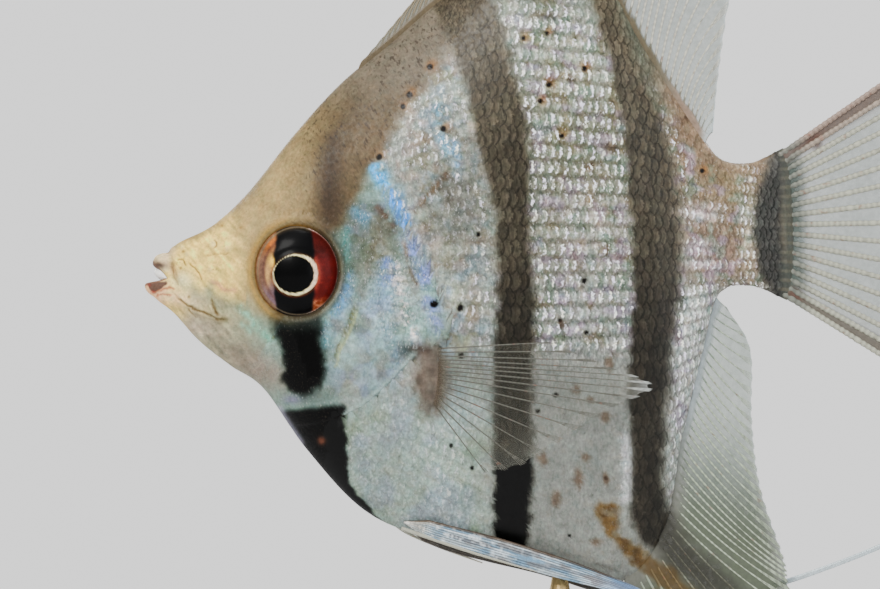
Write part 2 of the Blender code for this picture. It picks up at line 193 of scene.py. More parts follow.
COAT = 0.12  # how far the skin lies inside the body's outline where scales cover it
EYE_X, EYE_Z = 18.15, -3.7
EYE_RADII = (5.05, 2.7, 5.5)
EYE_OUT = 4.0  # distance of the eye's centre from the fish's middle
GAPE_LINE = curve(((3.3, -6.5), (4.4, -7.4), (5.6, -8.1), (6.9, -8.6), (8.0, -9.1), (8.8, -9.5), (9.6, -9.6)))
SNOUT_FOLD = curve(((4.9, -2.6), (5.9, -3.5), (6.4, -4.3), (6.7, -4.9)))
LIP_FOLD = curve(((3.6, -2.4), (4.3, -2.5), (4.8, -3.1)))
JAW_END = curve(((7.8, -6.9), (8.0, -7.7), (8.3, -8.3), (8.8, -9.2)))
LIP_GROOVE = curve(((2.9, -2.4), (3.2, -3.4), (3.5, -4.6), (4.1, -5.6)))
CHIN_FOLD = curve(((5.0, -8.0), (5.5, -8.7), (6.2, -9.4)))
SNOUT_CREASE = curve(((6.9, -2.0), (8.1, -1.7), (9.4, -1.7), (10.2, -1.4)))
CHEEK_EDGE = curve(((25.3, -6.4), (24.6, -9.0), (23.9, -10.8), (23.3, -12.0), (22.7, -13.2), (22.4, -14.6)))
GILL_EDGE = curve((
    (27.0, 7.6), (29.6, 3.0), (31.5, -0.4), (34.3, -5.6), (35.9, -9.8), (35.6, -12.0),
    (32.6, -13.3), (29.6, -16.4), (26.0, -19.6), (22.0, -21.4), (17.5, -22.2),
))
NOSTRIL = (8.0, -0.5)
BUMPS = ((9.7, -1.1, 0.45), (4.8, -1.7, 0.32), (4.2, -0.9, 0.3), (7.6, -3.6, 0.4))  # low warts on the snout
PORES = ((4.35, -1.4), (9.0, 1.7), (11.3, 1.4), (13.6, 3.9), (4.1, -3.4), (5.1, -6.8), (15.2, -11.6))
PAD = (33.8, -16.5, 1.9, 4.1)  # fleshy root of the pectoral fin: middle and half sizes
VENT_LINE = ((53.6, -38.7), (56.4, -39.9))


def eye_reach(x, z):
    """1 on the rim of the eyeball as seen from the side."""
    return np.hypot((x - EYE_X) / EYE_RADII[0], (z - EYE_Z) / EYE_RADII[2])


def pad_reach(x, z):
    return np.hypot((x - PAD[0]) / PAD[2], (z - PAD[1]) / PAD[3])


def scaled(x, z):
    """1 where scales cover the skin, and 0 on the bare snout and lips and close round the eye."""
    behind_brow = step(11.0, 17.0, x + 0.35 * np.minimum(z, 0) + 0.10 * np.maximum(z, 0))
    return behind_brow * step(1.12, 1.3, eye_reach(x, z))


def wrinkles(x, z):
    """Fine folds of the bare skin, running back and down over snout and jaws, from -0.5 to 0.5."""
    return (clouds(0.75 * x + 0.66 * z, (0.66 * x - 0.75 * z) / 3.2, 0.42, 21) - 0.5) * (1 - step(10, 15, x))


def wandered(x, z):
    """Places pushed about a little, so that drawn lines waver."""
    fine = 0.22 * (clouds(x, z, 0.25, 77) - 0.5)
    return x + 0.34 * (clouds(x, z, 0.7, 71) - 0.5) + fine, z + 0.34 * (clouds(x, z, 0.7, 72) - 0.5) - fine


def relief(x, z, station):
    depth = -COAT * scaled(x, z) + 0.10 * wrinkles(x, z) * step(2.0, 4.0, x)
    upper = step(-4.4, -3.6, z)
    depth = depth + (0.16 + 0.26 * upper) * hump(station - 0.42, 0.40)  # the lips
    depth -= (0.10 + 0.20 * upper) * hump(station - 1.10, 0.20)
    wx, wz = wandered(x, z)
    for line, deep, wide in (
        (GAPE_LINE, 0.24, 0.13),
        (SNOUT_FOLD, 0.14, 0.12),
        (LIP_FOLD, 0.12, 0.12),
        (JAW_END, 0.26, 0.16),
        (LIP_GROOVE, 0.16, 0.34),
        (CHIN_FOLD, 0.08, 0.16),
        (SNOUT_CREASE, 0.05, 0.14),
    ):
        distance, place, side = near(wx, wz, line, 6 * wide)
        ends = step(0, 0.12, place) * step(0, 0.18, 1 - place)
        depth -= deep * hump(distance, wide) * (0.35 + 0.65 * ends)
        depth += 0.4 * deep * hump(distance - 2.2 * wide, wide) * ends
    ring = np.hypot(x - NOSTRIL[0], z - NOSTRIL[1])
    depth += 0.16 * hump(ring, 0.42) - 0.16 * hump(np.hypot(x - NOSTRIL[0] - 0.30, z - NOSTRIL[1]), 0.14)
    for bx, bz, wide in BUMPS:
        depth += 0.16 * hump(np.hypot(x - bx, z - bz), wide)
    depth += 0.06 * step(0.60, 0.74, clouds(x, z, 0.8, 22)) * step(14, 10, x) * step(2.5, 4, x)
    for px, pz in PORES:
        depth -= 0.10 * hump(np.hypot(x - px, z - pz), 0.2)
    reach = eye_reach(x, z)
    front = step(2.0, -4.0, x - EYE_X)
    depth -= 0.65 * (1 - step(0.97, 1.10, reach))
    depth -= 2.4 * (1 - step(0.84, 0.95, reach))
    depth += (0.08 + 0.12 * front) * hump(reach - 1.13, 0.06)
    depth -= 0.05 * hump(reach - 1.26, 0.05)
    distance, place, side = near(x, z, CHEEK_EDGE, 3.0)
    depth -= 0.15 * hump(distance, 0.22) * step(0, 0.1, place) * step(0, 0.2, 1 - place)
    depth += 0.10 * hump(distance - 0.7, 0.6) * (side < 0)
    distance, place, side = near(x, z, GILL_EDGE)
    strength = step(0, 0.12, place) * (0.35 + 0.65 * step(0, 0.3, 1 - place))
    raised, sunk = 0.30 * np.exp(-distance / 2.4), -0.16 * hump(distance, 0.7)
    depth += strength * (raised + (sunk - raised) * step(-0.22, 0.22, side * distance))
    pad = pad_reach(x, z)
    depth += 0.45 * (1 - step(0.30, 1.35, pad)) + 0.10 * (clouds(x, z, 0.9, 6) - 0.5) * (pad < 1.2)
    distance, place, side = near(x, z, VENT_LINE, 3.0)
    depth += 0.25 * hump(distance, 0.9) - 0.30 * hump(distance, 0.22)
    depth += 0.10 * (clouds(x, z, 7.0, 3) - 0.5) * step(3, 9, x)
    return depth


def skin_at(station, turn):
    """Places on the finished skin, and its outward normals."""
    step_s, step_t = 0.01, 0.004
    here = bare_body(station, turn)
    along = bare_body(station + step_s, turn) - bare_body(station - step_s, turn)
    down = bare_body(station, turn + step_t) - bare_body(station, turn - step_t)
    normal = np.cross(down, along)
    normal /= np.maximum(np.linalg.norm(normal, axis=-1, keepdims=True), 1e-9)
    depth = relief(here[..., 0], here[..., 2], station)
    edge = step(0.0, 0.10, 1 - np.abs(np.cos(turn)))  # the ridges of back and belly stay as they are
    edge = np.maximum(edge, step(2.2, 1.4, station))
    return here + normal * (depth * (0.25 + 0.75 * edge))[..., None], normal


# ---------------------------------------------------------------------------------------------
# The markings. The skin and the scales over it ask the same function for their colour, so that a
# bar or a spot runs through both. Colours are given as the eye sees them, from 0 to 255.

SILVER, OLIVE = (166, 170, 165), (142, 144, 128)
TAN, SNOUT_TAN, BROWN = (184, 170, 139), (240, 220, 162), (114, 104, 88)
CHEEK_GREY, BREAST_GREY, TAIL_PINK = (160, 181, 177), (168, 180, 174), (145, 130, 114)
BAR_BROWN, BAR_BLACK = (94, 89, 79), (7, 9, 7)
# FOLD_SHADE is brown painted shade, laid in the folds and grooves of the bare skin.
LAVENDER, FOLD_SHADE = (156, 168, 204), (100, 84, 58)
INK_LIGHT, INK_CURVE = 0.95, 3.1  # how the eye's colours turn into light
NAPE_EDGE = curve(((39.5, 27.0), (34.5, 20.3), (30.6, 15.2), (27.4, 9.4), (24.6, 3.6), (22.6, 0.4)))
FIRST_BAR = (  # middle of the bar, and half its width
    (35.0, 34.0, 3.6), (38.3, 26.8, 3.3), (41.0, 19.0, 3.0), (42.6, 11.5, 3.1), (43.4, 5.5, 2.2),
    (43.7, -0.6, 2.1), (44.1, -6.7, 2.3), (43.5, -19.9, 2.3), (43.6, -28.1, 2.2), (43.4, -39.0, 1.8),
)
SECOND_BAR = (
    (52.6, 34.0, 1.3), (54.8, 27.5, 1.4), (57.0, 20.5, 1.6), (60.0, 9.0, 2.8), (60.7, -4.8, 2.9),
    (60.0, -14.0, 2.5), (59.5, -26.6, 2.1), (60.0, -33.0, 2.2), (62.4, -36.2, 2.0), (67.4, -40.8, 2.6),
)
TAIL_BAR = (
    (76.4, 12.5, 1.0), (75.7, 9.9, 1.1), (74.4, 4.8, 1.6), (74.1, 0.8, 1.6), (74.8, -3.2, 1.7),
    (76.2, -5.3, 1.7), (77.4, -9.0, 1.6),
)
EYE_BAR = (
    (18.0, -6.0, 2.6), (18.0, -9.3, 2.9), (18.5, -11.3, 2.5), (18.8, -13.7, 2.35), (18.7, -15.9, 2.35),
)
NAPE_BAR = ((22.3, 11.8, 0.6), (21.9, 7.8, 1.2), (21.9, 4.6, 1.3), (21.9, 2.6, 0.9))
ORANGE_MARK = (
    (54.8, -32.6, 1.4), (55.5, -34.6, 0.6), (57.6, -36.8, 0.9), (60.6, -39.2, 1.1), (64.0, -42.0, 1.2),
)
PATCH_EDGE = ((-34.0, 28.4), (-32.5, 27.0), (-29.3, 24.3), (-24.0, 23.9), (-19.4, 23.6))  # height, x
SPOTS = (  # middle and radius of the small dark spots on the flank
    (33.8, 20.5, 0.42), (31.4, 17.2, 0.40), (30.6, 15.8, 0.36), (27.8, 9.8, 0.42), (35.4, 13.1, 0.44),
    (44.9, 23.9, 0.36), (47.7, 24.5, 0.34), (52.1, 20.3, 0.40), (47.9, 18.4, 0.42), (46.9, 16.4, 0.36),
    (49.4, 12.3, 0.34), (39.5, 0.6, 0.30), (34.3, -7.6, 0.56), (37.4, -8.1, 0.46), (37.5, -13.7, 0.40),
    (52.1, -4.9, 0.40), (49.2, -9.6, 0.36), (52.3, -11.0, 0.34), (36.3, -24.4, 0.30),
    (38.8, -27.1, 0.34), (48.7, -18.4, 0.34), (46.6, -20.3, 0.32), (54.7, -28.3, 0.30),
    (50.4, -35.2, 0.22), (66.2, 8.2, 0.34),
)
BLOTCHES = (  # larger, softer and browner marks: middle and half sizes
    (54.7, -28.3, 0.45, 0.9), (55.3, 10.9, 0.8, 0.9), (52.8, 8.6, 0.6, 0.7), (54.6, -1.3, 0.5, 0.8),
    (55.1, -14.5, 0.55, 1.3), (51.1, -17.7, 0.6, 0.7), (52.8, -19.0, 0.5, 0.5), (54.6, -21.0, 0.6, 0.8),
    (47.2, -26.0, 0.7, 0.8), (52.3, -25.8, 0.6, 0.6), (51.5, -28.3, 0.6, 1.5), (48.8, -30.7, 0.7, 1.2),
    (53.6, -36.0, 1.0, 0.6), (50.5, 19.0, 0.5, 0.5), (64.4, 14.6, 0.5, 0.5), (35.7, 7.5, 0.4, 0.9),
    (49.3, -10.0, 0.5, 0.6),
)


def lay(paint, mask, tone, strength=1.0):
    """Paint with a tone laid over it where the mask is 1."""
    cover = np.clip(mask * strength, 0, 1)[..., None]
    return paint * (1 - cover) + np.asarray(tone, float) * cover


def plain_tone(places, tone):
    """The same tone at every place."""
    return np.zeros(np.shape(places) + (3,)) + tone


def coats(paint, *rows):
    """Paint with several tones laid over it. A row is a mask, its tone and, if need be, its strength."""
    for row in rows:
        paint = lay(paint, *row)
    return paint


def patch(x, z, middle_x, middle_z, half_x, half_z, lean=0.0):
    """1 in the middle of a soft-edged oval, whose top may lean towards the tail."""
    dx, dz = x - middle_x, z - middle_z
    return hump(np.hypot((dx - lean * dz) / half_x, dz / half_z), 1.0)


def dabs(paint, x, z, where, rows):
    """Paint with soft ovals laid over it. A row is a middle, half sizes, a tone, its strength and a lean."""
    for middle_x, middle_z, half_x, half_z, tone, strength, *lean in rows:
        paint = lay(paint, where * patch(x, z, middle_x, middle_z, half_x, half_z, *lean), tone, strength)
    return paint


def blots(paint, x, z, where, size, low, high, strength, rows):
    """Paint broken up by soft random patches. A row is the seed and the tone of one layer of them."""
    for seed, tone in rows:
        paint = lay(paint, where * step(low, high, clouds(x, z, size, seed)), tone, strength)
    return paint


def band(x, z, rows, soft, ragged=0.0, rear=1.0):
    """1 inside a band along rows of x, z and half width; edges may be ragged, and softer behind."""
    rows = smooth(rows, np.linspace(0, len(rows) - 1, (len(rows) - 1) * 4 + 1))
    distance, place, side = near(x, z, rows[:, :2].tolist(), rows[:, 2].max() + soft * rear + ragged)
    soft = soft * np.where(side > 0, rear, 1.0)
    half = np.interp(place, np.linspace(0, 1, len(rows)), rows[:, 2])
    wander = (clouds(x, z, 1.1, 5) - 0.5) * 2 * ragged
    return 1 - step(-soft, soft, distance - half + wander)


def streak(x, z, points, half):
    """1 along the middle of a soft-edged line that fades at its ends."""
    distance, place, side = near(x, z, curve(points), 3 * half)
    return hump(distance, half) * step(0, 0.15, place) * step(0, 0.15, 1 - place)


def nape_side(x, z):
    """1 on the forehead and nape, and 0 behind and below their edge."""
    distance, place, side = near(x, z, NAPE_EDGE)
    return step(-1.2, 1.2, -side * distance + (clouds(x, z, 2.0, 8) - 0.5) * 2)


def gill_side(x, z):
    """1 on the head in front of the gill opening, and 0 behind it."""
    distance, place, side = near(x, z, GILL_EDGE)
    return step(-0.15, 0.15, -side * distance)


def dark_bars(x, z):
    """How strongly each place is darkened by the bars of the flank, from 0 to 1."""
    first = band(x, z, FIRST_BAR, 0.60, 0.6, 1.3)
    second = band(x, z, SECOND_BAR, 0.55, 0.5, 2.0)
    tail = 0.9 * band(x, z, TAIL_BAR, 0.8, 0.3)
    return np.maximum(np.maximum(first, second), tail)


def black_marks(x, z):
    """The jet black marks: under the eye, on the breast and at the foot of the first bar."""
    under_eye = band(x, z, EYE_BAR, 0.8, 0.6) * (0.55 + 0.45 * step(-9.0, -11.8, z))
    heights, edges = np.array(PATCH_EDGE).T
    teeth = 0.30 * (clouds(x * 0, z, 0.8, 12) - 0.5) * 2
    breast = step(-0.3, 0.3, np.interp(z, heights, edges) + teeth - x)
    top = -19.9 + 0.12 * (x - 21) + 0.4 * (clouds(x, z, 1.2, 13) - 0.5)
    breast *= step(-0.5, 0.5, top - z) * step(-36, -35, z)
    below = -25.6 - z + 2.0 * (clouds(x, z, 1.8, 14) - 0.5)
    foot = band(x, z, FIRST_BAR, 0.30, 0.55) * step(-0.8, 0.8, below)
    return np.maximum(np.maximum(under_eye, breast), foot)


def paint_flank(x, z, share, broad):
    """Colour, gleam and scale edges of the flank, from the back down, and of the root of the tail."""
    paint = plain_tone(x, SILVER)
    behind = step(36, 47, x)
    silver = behind * step(-15, -11, z) * step(0.03, 0.14, share)
    rear = step(61, 64, x) * step(0.05, 0.2, share)
    paint = lay(paint, hump(x - 52.0, 9.0) * step(-12, 0, z) * step(24, 12, z), OLIVE, 0.8)
    # Paler ovals over the mid flank; the second is painted sheen where the scales shine most.
    paint = dabs(paint, x, z, 1, (
        (49.5, 22.0, 4.5, 6.0, (200, 202, 188), 0.6),
        (52.5, 1.5, 5.0, 5.0, (214, 206, 204), 0.6),
        (52.0, -6.5, 5.5, 4.0, (188, 189, 188), 0.6),
        (51.0, -14.5, 6.0, 3.0, (182, 184, 182), 0.6),
    ))
    ridge = 1 - step(0.0, 0.18, share + 0.1 * broad)
    paint = coats(
        paint,
        (ridge * step(64, 60, x), (108, 109, 97), 0.75),
        (ridge * step(60, 64, x), (174, 162, 152), 0.7),
        (rear * step(-4, -9, z), (201, 203, 201), 0.9),
        (step(61, 66, x + 0.12 * z) * step(-7, -3, z), TAIL_PINK, 0.9),
        (step(62, 66, x) * patch(x, z, 67.5, -1.2, 3.6, 2.2), (140, 124, 116), 0.8),
        (step(62, 66, x) * patch(x, z, 69.0, 5.6, 5.0, 2.8), (152, 142, 122), 0.8),
        (behind * step(-11, -17, z) * step(62, 58, x), (149, 151, 147), 0.9),
        (behind * (1 - rear) * step(0.60, 0.70, clouds(x, z, 1.5, 61)), (126, 112, 84), 0.35 * silver),
        (step(0.58, 0.70, clouds(x, z, 1.2, 62)), (176, 162, 182), 0.5 * np.maximum(silver, rear)),
        (step(0.58, 0.70, clouds(x, z, 1.2, 63)), (134, 152, 140), 0.5 * silver),
    )
    gleam = 0.30 + 0.2 * broad + 0.70 * silver + 0.6 * rear * step(4, -2, z)
    gleam = gleam + 0.2 * patch(x, z, 34.0, 13.0, 4.0, 8.0)
    gleam = gleam * (1 - 0.72 * behind * step(-12, -16, z) * step(62, 59, x))
    gleam = gleam * (0.4 + 0.6 * step(0.0, 0.16, share))
    root = step(61, 64, x) * step(-7.0, -4.0, z)
    lit = 0.20 + 0.5 * patch(x, z, 62.5, 10.0, 1.6, 5.0, -0.5)
    # Pearly patches at the root of the tail are painted glints, and raise the gleam there.
    for px, pz, wide, tall, tone in (
        (66.0, 3.2, 2.6, 1.2, (210, 203, 207)),
        (65.6, -0.8, 2.2, 0.8, (210, 203, 207)),
        (66.2, -2.8, 2.8, 0.8, (210, 203, 207)),
        (72.0, 1.2, 1.2, 5.6, (206, 204, 192)),
    ):
        pearl = root * patch(x, z, px, pz, wide, tall)
        paint = lay(paint, pearl, tone, 0.8)
        lit = lit + 0.9 * pearl
    gleam = gleam * (1 - root) + root * np.clip(lit, 0, 1)
    outline = 0.12 + 0.20 * behind + 0.15 * rear
    outline = outline * (1 - 0.65 * behind * step(-13, -18, z) * step(62, 59, x))
    return paint, gleam, outline


def paint_front(x, z, share, broad, small, grain, paint, gleam, outline):
    """Nape, forehead, cheek, breast and snout, laid over the flank's colour; also the nape's streaks."""
    front = 1 - step(38, 43, x)
    hues = ((64, (128, 122, 100)), (65, (150, 170, 186)), (66, (182, 186, 168)), (67, (172, 158, 152)))
    paint = blots(paint, x, z, front, 1.5, 0.56, 0.68, 0.45, hues)
    breast = step(-14, -22, z) * front
    paint = coats(
        paint,
        (breast, BREAST_GREY, 0.8),
        (breast * step(0.5, 0.7, clouds(x, z, 3.0, 68)), (146, 158, 142), 0.6),
        (breast * step(0.5, 0.7, clouds(x, z, 3.4, 69)), (160, 168, 176), 0.6),
        (patch(x, z, 37.2, 4.6, 3.2, 6.4), (128, 128, 122), 0.85),
        (patch(x, z, 36.6, -19.5, 4.0, 4.0), (184, 194, 194), 0.8),
    )
    coarse = front * step(-16, -10, z) * (clouds(x, z, 0.5, 75) + clouds(x, z, 0.9, 76) - 1)
    head = gill_side(x, z)
    paint = lay(paint, head, CHEEK_GREY, 0.9)
    paint = dabs(paint, x, z, head, (
        (24.8, 1.2, 3.2, 3.6, (104, 112, 106), 0.85),
        (27.5, -1.5, 2.4, 4.0, (124, 116, 100), 0.75),
        (27.8, -9.2, 3.4, 4.2, (190, 206, 210), 0.9),
        (26.4, -16.6, 4.6, 3.4, (141, 156, 159), 0.85),
        (24.4, -17.8, 1.6, 2.6, (160, 152, 144), 0.7),
    ))
    hues = ((81, (146, 152, 176)), (82, (124, 134, 120)), (83, (188, 198, 196)), (84, (128, 122, 112)))
    paint = blots(paint, x, z, head, 2.0, 0.56, 0.68, 0.38, hues)
    nape = nape_side(x, z)
    paint = coats(
        paint,
        (head * patch(x, z, 14.0, -11.6, 3.4, 2.4), (152, 172, 164), 0.8),
        (nape, BROWN),
        (nape * step(23, 13, x - 0.15 * z), TAN),
        (nape * patch(x, z, 26.5, 11.5, 3.2, 4.0, 0.4), (134, 122, 106), 0.8),
        (nape * step(13, 21, z), (140, 134, 124), 0.85),
    )
    jowl = step(-7.0, -10.0, z + 0.25 * (x - 12)) * step(24, 20, x) * step(9, 12, x)
    paint = coats(
        paint,
        (jowl, (152, 170, 162), 0.8),
        (head * (1 - nape) * step(17, 12, x + 0.2 * z), (158, 178, 170), 0.85),
        (step(14.5, 9.5, x + 0.25 * np.abs(z + 3)), SNOUT_TAN),
        (patch(x, z, 15.0, 4.0, 5.0, 4.5, 0.5) * nape, (190, 173, 138), 0.5),
    )
    below = step(-1.0, 1.2, -6.3 - z - 0.35 * (x - 8.0) * (x < 12) + 0.6 * small)
    chin = step(14.5, 11.0, x) * step(3.5, 6.0, x) * below
    paint = coats(
        paint,
        (chin, (168, 168, 150), 0.9),
        (patch(x, z, 7.0, -8.6, 1.5, 0.9, -0.6), (206, 192, 160), 0.8),
        (patch(x, z, 10.2, -13.2, 2.4, 1.3, -0.6), (142, 139, 126), 0.8),
    )
    paint = dabs(paint, x, z, head, (
        (24.2, -2.4, 1.1, 1.8, (104, 117, 107), 0.75),
        (24.7, -9.4, 0.9, 1.5, (128, 144, 124), 0.65),
        (24.6, -13.2, 1.8, 1.7, (182, 198, 197), 0.75),
        (28.2, -6.0, 1.2, 1.9, (152, 178, 200), 0.65),
    ))
    paint = dabs(paint, x, z, 1, (
        # Painted shadow behind the gill cover, in front of the fin's root.
        (31.0, -13.0, 1.3, 1.1, (98, 102, 102), 0.8),
        (13.8, -15.6, 4.0, 3.0, (170, 158, 148), 0.85, -0.6),
        (5.6, -10.4, 3.6, 1.7, (186, 176, 166), 0.7, -0.8),
    ))
    paint = lay(paint, step(0.10, 0.0, share) * step(30, 6, x), (134, 122, 100), 0.55)
    face = head * (1 - nape)
    gleam = gleam * (1 - face) + face * (0.20 + 0.35 * hump(np.hypot(x - 30.0, z + 6.0), 5.0))
    gleam = gleam * (1 - 0.93 * nape) * step(6, 12, x)
    outline = outline * (1 - nape) * (1 - 0.7 * face)
    hatch = nape * step(15, 21, x) * (0.5 + 0.5 * step(0.35, 0.65, clouds(x, z, 4.0, 9)))
    warts = step(0.60, 0.74, clouds(x, z, 0.8, 22)) * step(14, 10, x) * step(2.5, 4, x)
    # The bare skin is painted lighter where its wrinkles and warts rise and darker in the folds: painted
    # light and shade.
    bare = 0.30 * wrinkles(x, z) + 0.07 * warts
    coarse = coarse * (1 - nape) * (1 - 0.3 * face)
    paint = paint * (1 + 0.08 * broad + 0.12 * small + 0.10 * (grain - 0.5) + 0.28 * coarse + bare)[..., None]
    return paint, gleam, outline, hatch


def paint_shimmer(x, z, grain, paint, gleam):
    """Blue, lavender and green shimmer round the gill cover and the cheek, broken into flecks, and painted
    white glints.
    """
    flecks = step(0.36, 0.60, grain)
    for points, half, tone, strength in (
        (((27.0, 9.2), (27.9, 7.4), (28.8, 6.0)), 0.85, (118, 188, 226), 1.3),
        (((28.8, 6.4), (29.8, 4.4), (30.6, 3.0), (30.8, 1.2)), 1.0, (126, 180, 232), 1.3),
        (((31.0, 1.6), (31.7, -1.2), (32.6, -3.4), (33.8, -6.2)), 0.85, (160, 172, 210), 1.2),
        (((28.2, -2.0), (28.8, -3.6), (28.8, -5.8)), 1.0, (146, 166, 200), 1.0),
        (((33.0, -6.4), (34.2, -8.6), (35.0, -11.0)), 0.8, LAVENDER, 0.8),
        (((24.4, -3.6), (24.2, -5.4), (23.2, -7.6), (22.0, -9.4)), 0.65, (120, 158, 186), 0.9),
        (((24.6, 4.4), (25.8, 2.4), (26.6, 3.2)), 0.8, (120, 152, 166), 0.9),
        (((24.2, 1.8), (23.8, -0.6), (24.0, -3.0)), 0.5, (116, 152, 148), 0.9),
        (((21.6, -9.4), (21.5, -11.4), (21.6, -13.2)), 0.7, (132, 172, 180), 0.8),
        (((10.6, -7.6), (12.4, -9.0), (13.6, -10.0)), 0.5, (172, 206, 190), 0.8),
        (((12.4, -9.8), (14.0, -11.0), (15.2, -12.4)), 0.5, (156, 196, 180), 0.8),
        (((11.0, -9.8), (12.8, -11.2)), 0.4, (172, 198, 184), 0.7),
        (((28.0, -9.4), (29.6, -13.0), (30.4, -15.2)), 0.8, (140, 162, 176), 0.6),
        (((34.6, 16.6), (35.4, 12.0), (36.4, 9.6)), 0.8, (150, 190, 214), 0.8),
        (((36.6, 12.6), (37.2, 8.4), (36.8, 7.2)), 0.6, (168, 200, 228), 0.8),
    ):
        mark = streak(x, z, points, half)
        paint = lay(paint, mark * (0.35 + 0.65 * flecks), tone, strength)
        gleam = gleam + 0.25 * mark
    # The white glitter and the small white streak above it are painted glints.
    glitter = streak(x, z, ((29.6, -2.0), (30.0, -4.6), (30.4, -7.0), (31.6, -10.4), (32.6, -12.6)), 0.75)
    paint = lay(paint, glitter * step(0.50, 0.62, clouds(x, z, 0.36, 85)), (246, 244, 242), 1.1)
    paint = lay(paint, streak(x, z, ((30.6, -0.2), (31.2, -1.8)), 0.28), (232, 224, 222), 0.8)
    gleam = gleam + 0.4 * glitter
    paint = lay(paint, streak(*wandered(x, z), CHEEK_EDGE, 0.18), (114, 110, 76), 0.7)
    edge, along, side = near(x, z, CHEEK_EDGE, 2.0)
    paint = lay(paint, hump(edge - 0.42, 0.16) * (side > 0) * step(0.05, 0.2, along), (186, 188, 152), 0.6)
    for points, half, tone in (
        (((31.4, 2.0), (33.2, 4.8), (35.6, 7.6)), 0.34, (124, 104, 86)),
        (((30.6, 1.2), (31.4, -3.4), (32.6, -5.8)), 0.24, (132, 118, 102)),
        (((27.2, 4.2), (28.6, 2.8), (30.1, 0.6)), 0.60, (102, 84, 72)),
    ):
        paint = lay(paint, streak(*wandered(x, z), points, half) * step(0.25, 0.55, grain), tone, 0.7)
    rim, along, side = near(x, z, GILL_EDGE, 3.0)
    # A pale line on the gill cover's lower edge is painted highlight; the dark line just behind its edge is
    # painted shadow.
    paint = lay(paint, hump(rim - 0.30, 0.22) * (side < 0) * step(0.45, 0.6, along), (184, 196, 192), 0.7)
    paint = lay(paint, hump(rim - 0.22, 0.26) * (side > 0) * step(0.1, 0.2, along), (84, 84, 80), 0.55)
    return paint, gleam


def paint_marks(x, z, small, grain, paint, gleam, outline):
    """Bars, black marks, spots and the orange mark near the vent; also what they leave of the gleam."""
    bars = dark_bars(x, z)
    depth = 0.94 + 0.28 * small + 0.20 * step(6, 24, z) - 0.27 * step(4, -14, z)
    paint = lay(paint, bars, np.asarray(BAR_BROWN) * depth[..., None], 0.93)
    paint = lay(paint, band(x, z, TAIL_BAR, 0.8, 0.3), (88, 89, 88), 0.85)
    outline = outline + 0.55 * bars
    paint = lay(paint, band(x, z, NAPE_BAR, 1.6), (88, 79, 72), 0.85)
    # A white streak of painted glints low on the flank, with more gleam there.
    seam = ((57.0, -22.0), (57.2, -28.0), (57.0, -31.8))
    paint = lay(paint, streak(x, z, seam, 0.6), (214, 216, 218), 0.8)
    gleam = gleam + 0.5 * streak(x, z, seam, 0.8)
    paint = lay(paint, patch(x, z, 19.6, -18.6, 3.0, 1.1), (116, 126, 122), 0.85)
    paint = lay(paint, patch(x, z, 17.4, -19.0, 1.1, 0.5), (152, 150, 172), 0.7)
    black = black_marks(x, z)
    paint = coats(
        paint,
        (black, BAR_BLACK, 0.97),
        (hump(np.hypot(x - 20.9, z + 23.9), 0.6), (150, 108, 92), 0.85),
        (streak(x, z, ((15.4, -19.5), (17.0, -22.0), (19.0, -25.0)), 0.55), (184, 182, 196), 0.75),
    )
    plain = np.ones(np.shape(x))
    for sx, sz, radius in SPOTS:
        away = np.hypot(x - sx, z - sz) * (1.1 + 0.5 * (grain - 0.5))
        plain = plain * step(0.9 * radius, 1.8 * radius, away)
        halo = 0.5 * hump(np.hypot(x - sx - 0.25, z - sz - 0.2), 1.7 * radius) * (sz > 5)
        paint = lay(paint, halo, (168, 122, 78))
        paint = lay(paint, 1 - step(0.5 * radius, 1.3 * radius, away), (22, 16, 12), 0.96)
    for sx, sz, wide, tall in BLOTCHES:
        mark = 1 - step(0.45, 1.25, np.hypot((x - sx) / wide, (z - sz) / tall) + 0.8 * (grain - 0.5))
        paint = lay(paint, mark, (112, 98, 86), 0.7)
    rust = plain_tone(x, (118, 98, 66))
    rust = lay(rust, step(0.5, 0.7, clouds(x, z, 0.8, 74)), (92, 74, 50), 0.8)
    rusty = band(x, z, ORANGE_MARK, 0.45, 0.8) * (0.55 + 0.45 * step(0.30, 0.50, clouds(x, z, 0.9, 73)))
    paint = lay(paint, rusty, rust, 0.85)
    pad = 1 - step(0.65, 1.45, pad_reach(x - 0.15, z) + 0.5 * (grain - 0.5))
    depth = 1 + 0.25 * small + 0.3 * (grain - 0.5)
    paint = lay(paint, pad, np.array((124, 115, 107)) * depth[..., None], 0.9)
    paint = lay(paint, patch(x, z, 32.4, -12.9, 0.9, 0.5), (70, 52, 44), 0.7)
    gleam_left = (1 - bars) ** 2 * (1 - black) * (1 - pad) * plain
    return paint, gleam, outline, gleam_left, plain * (1 - black), plain


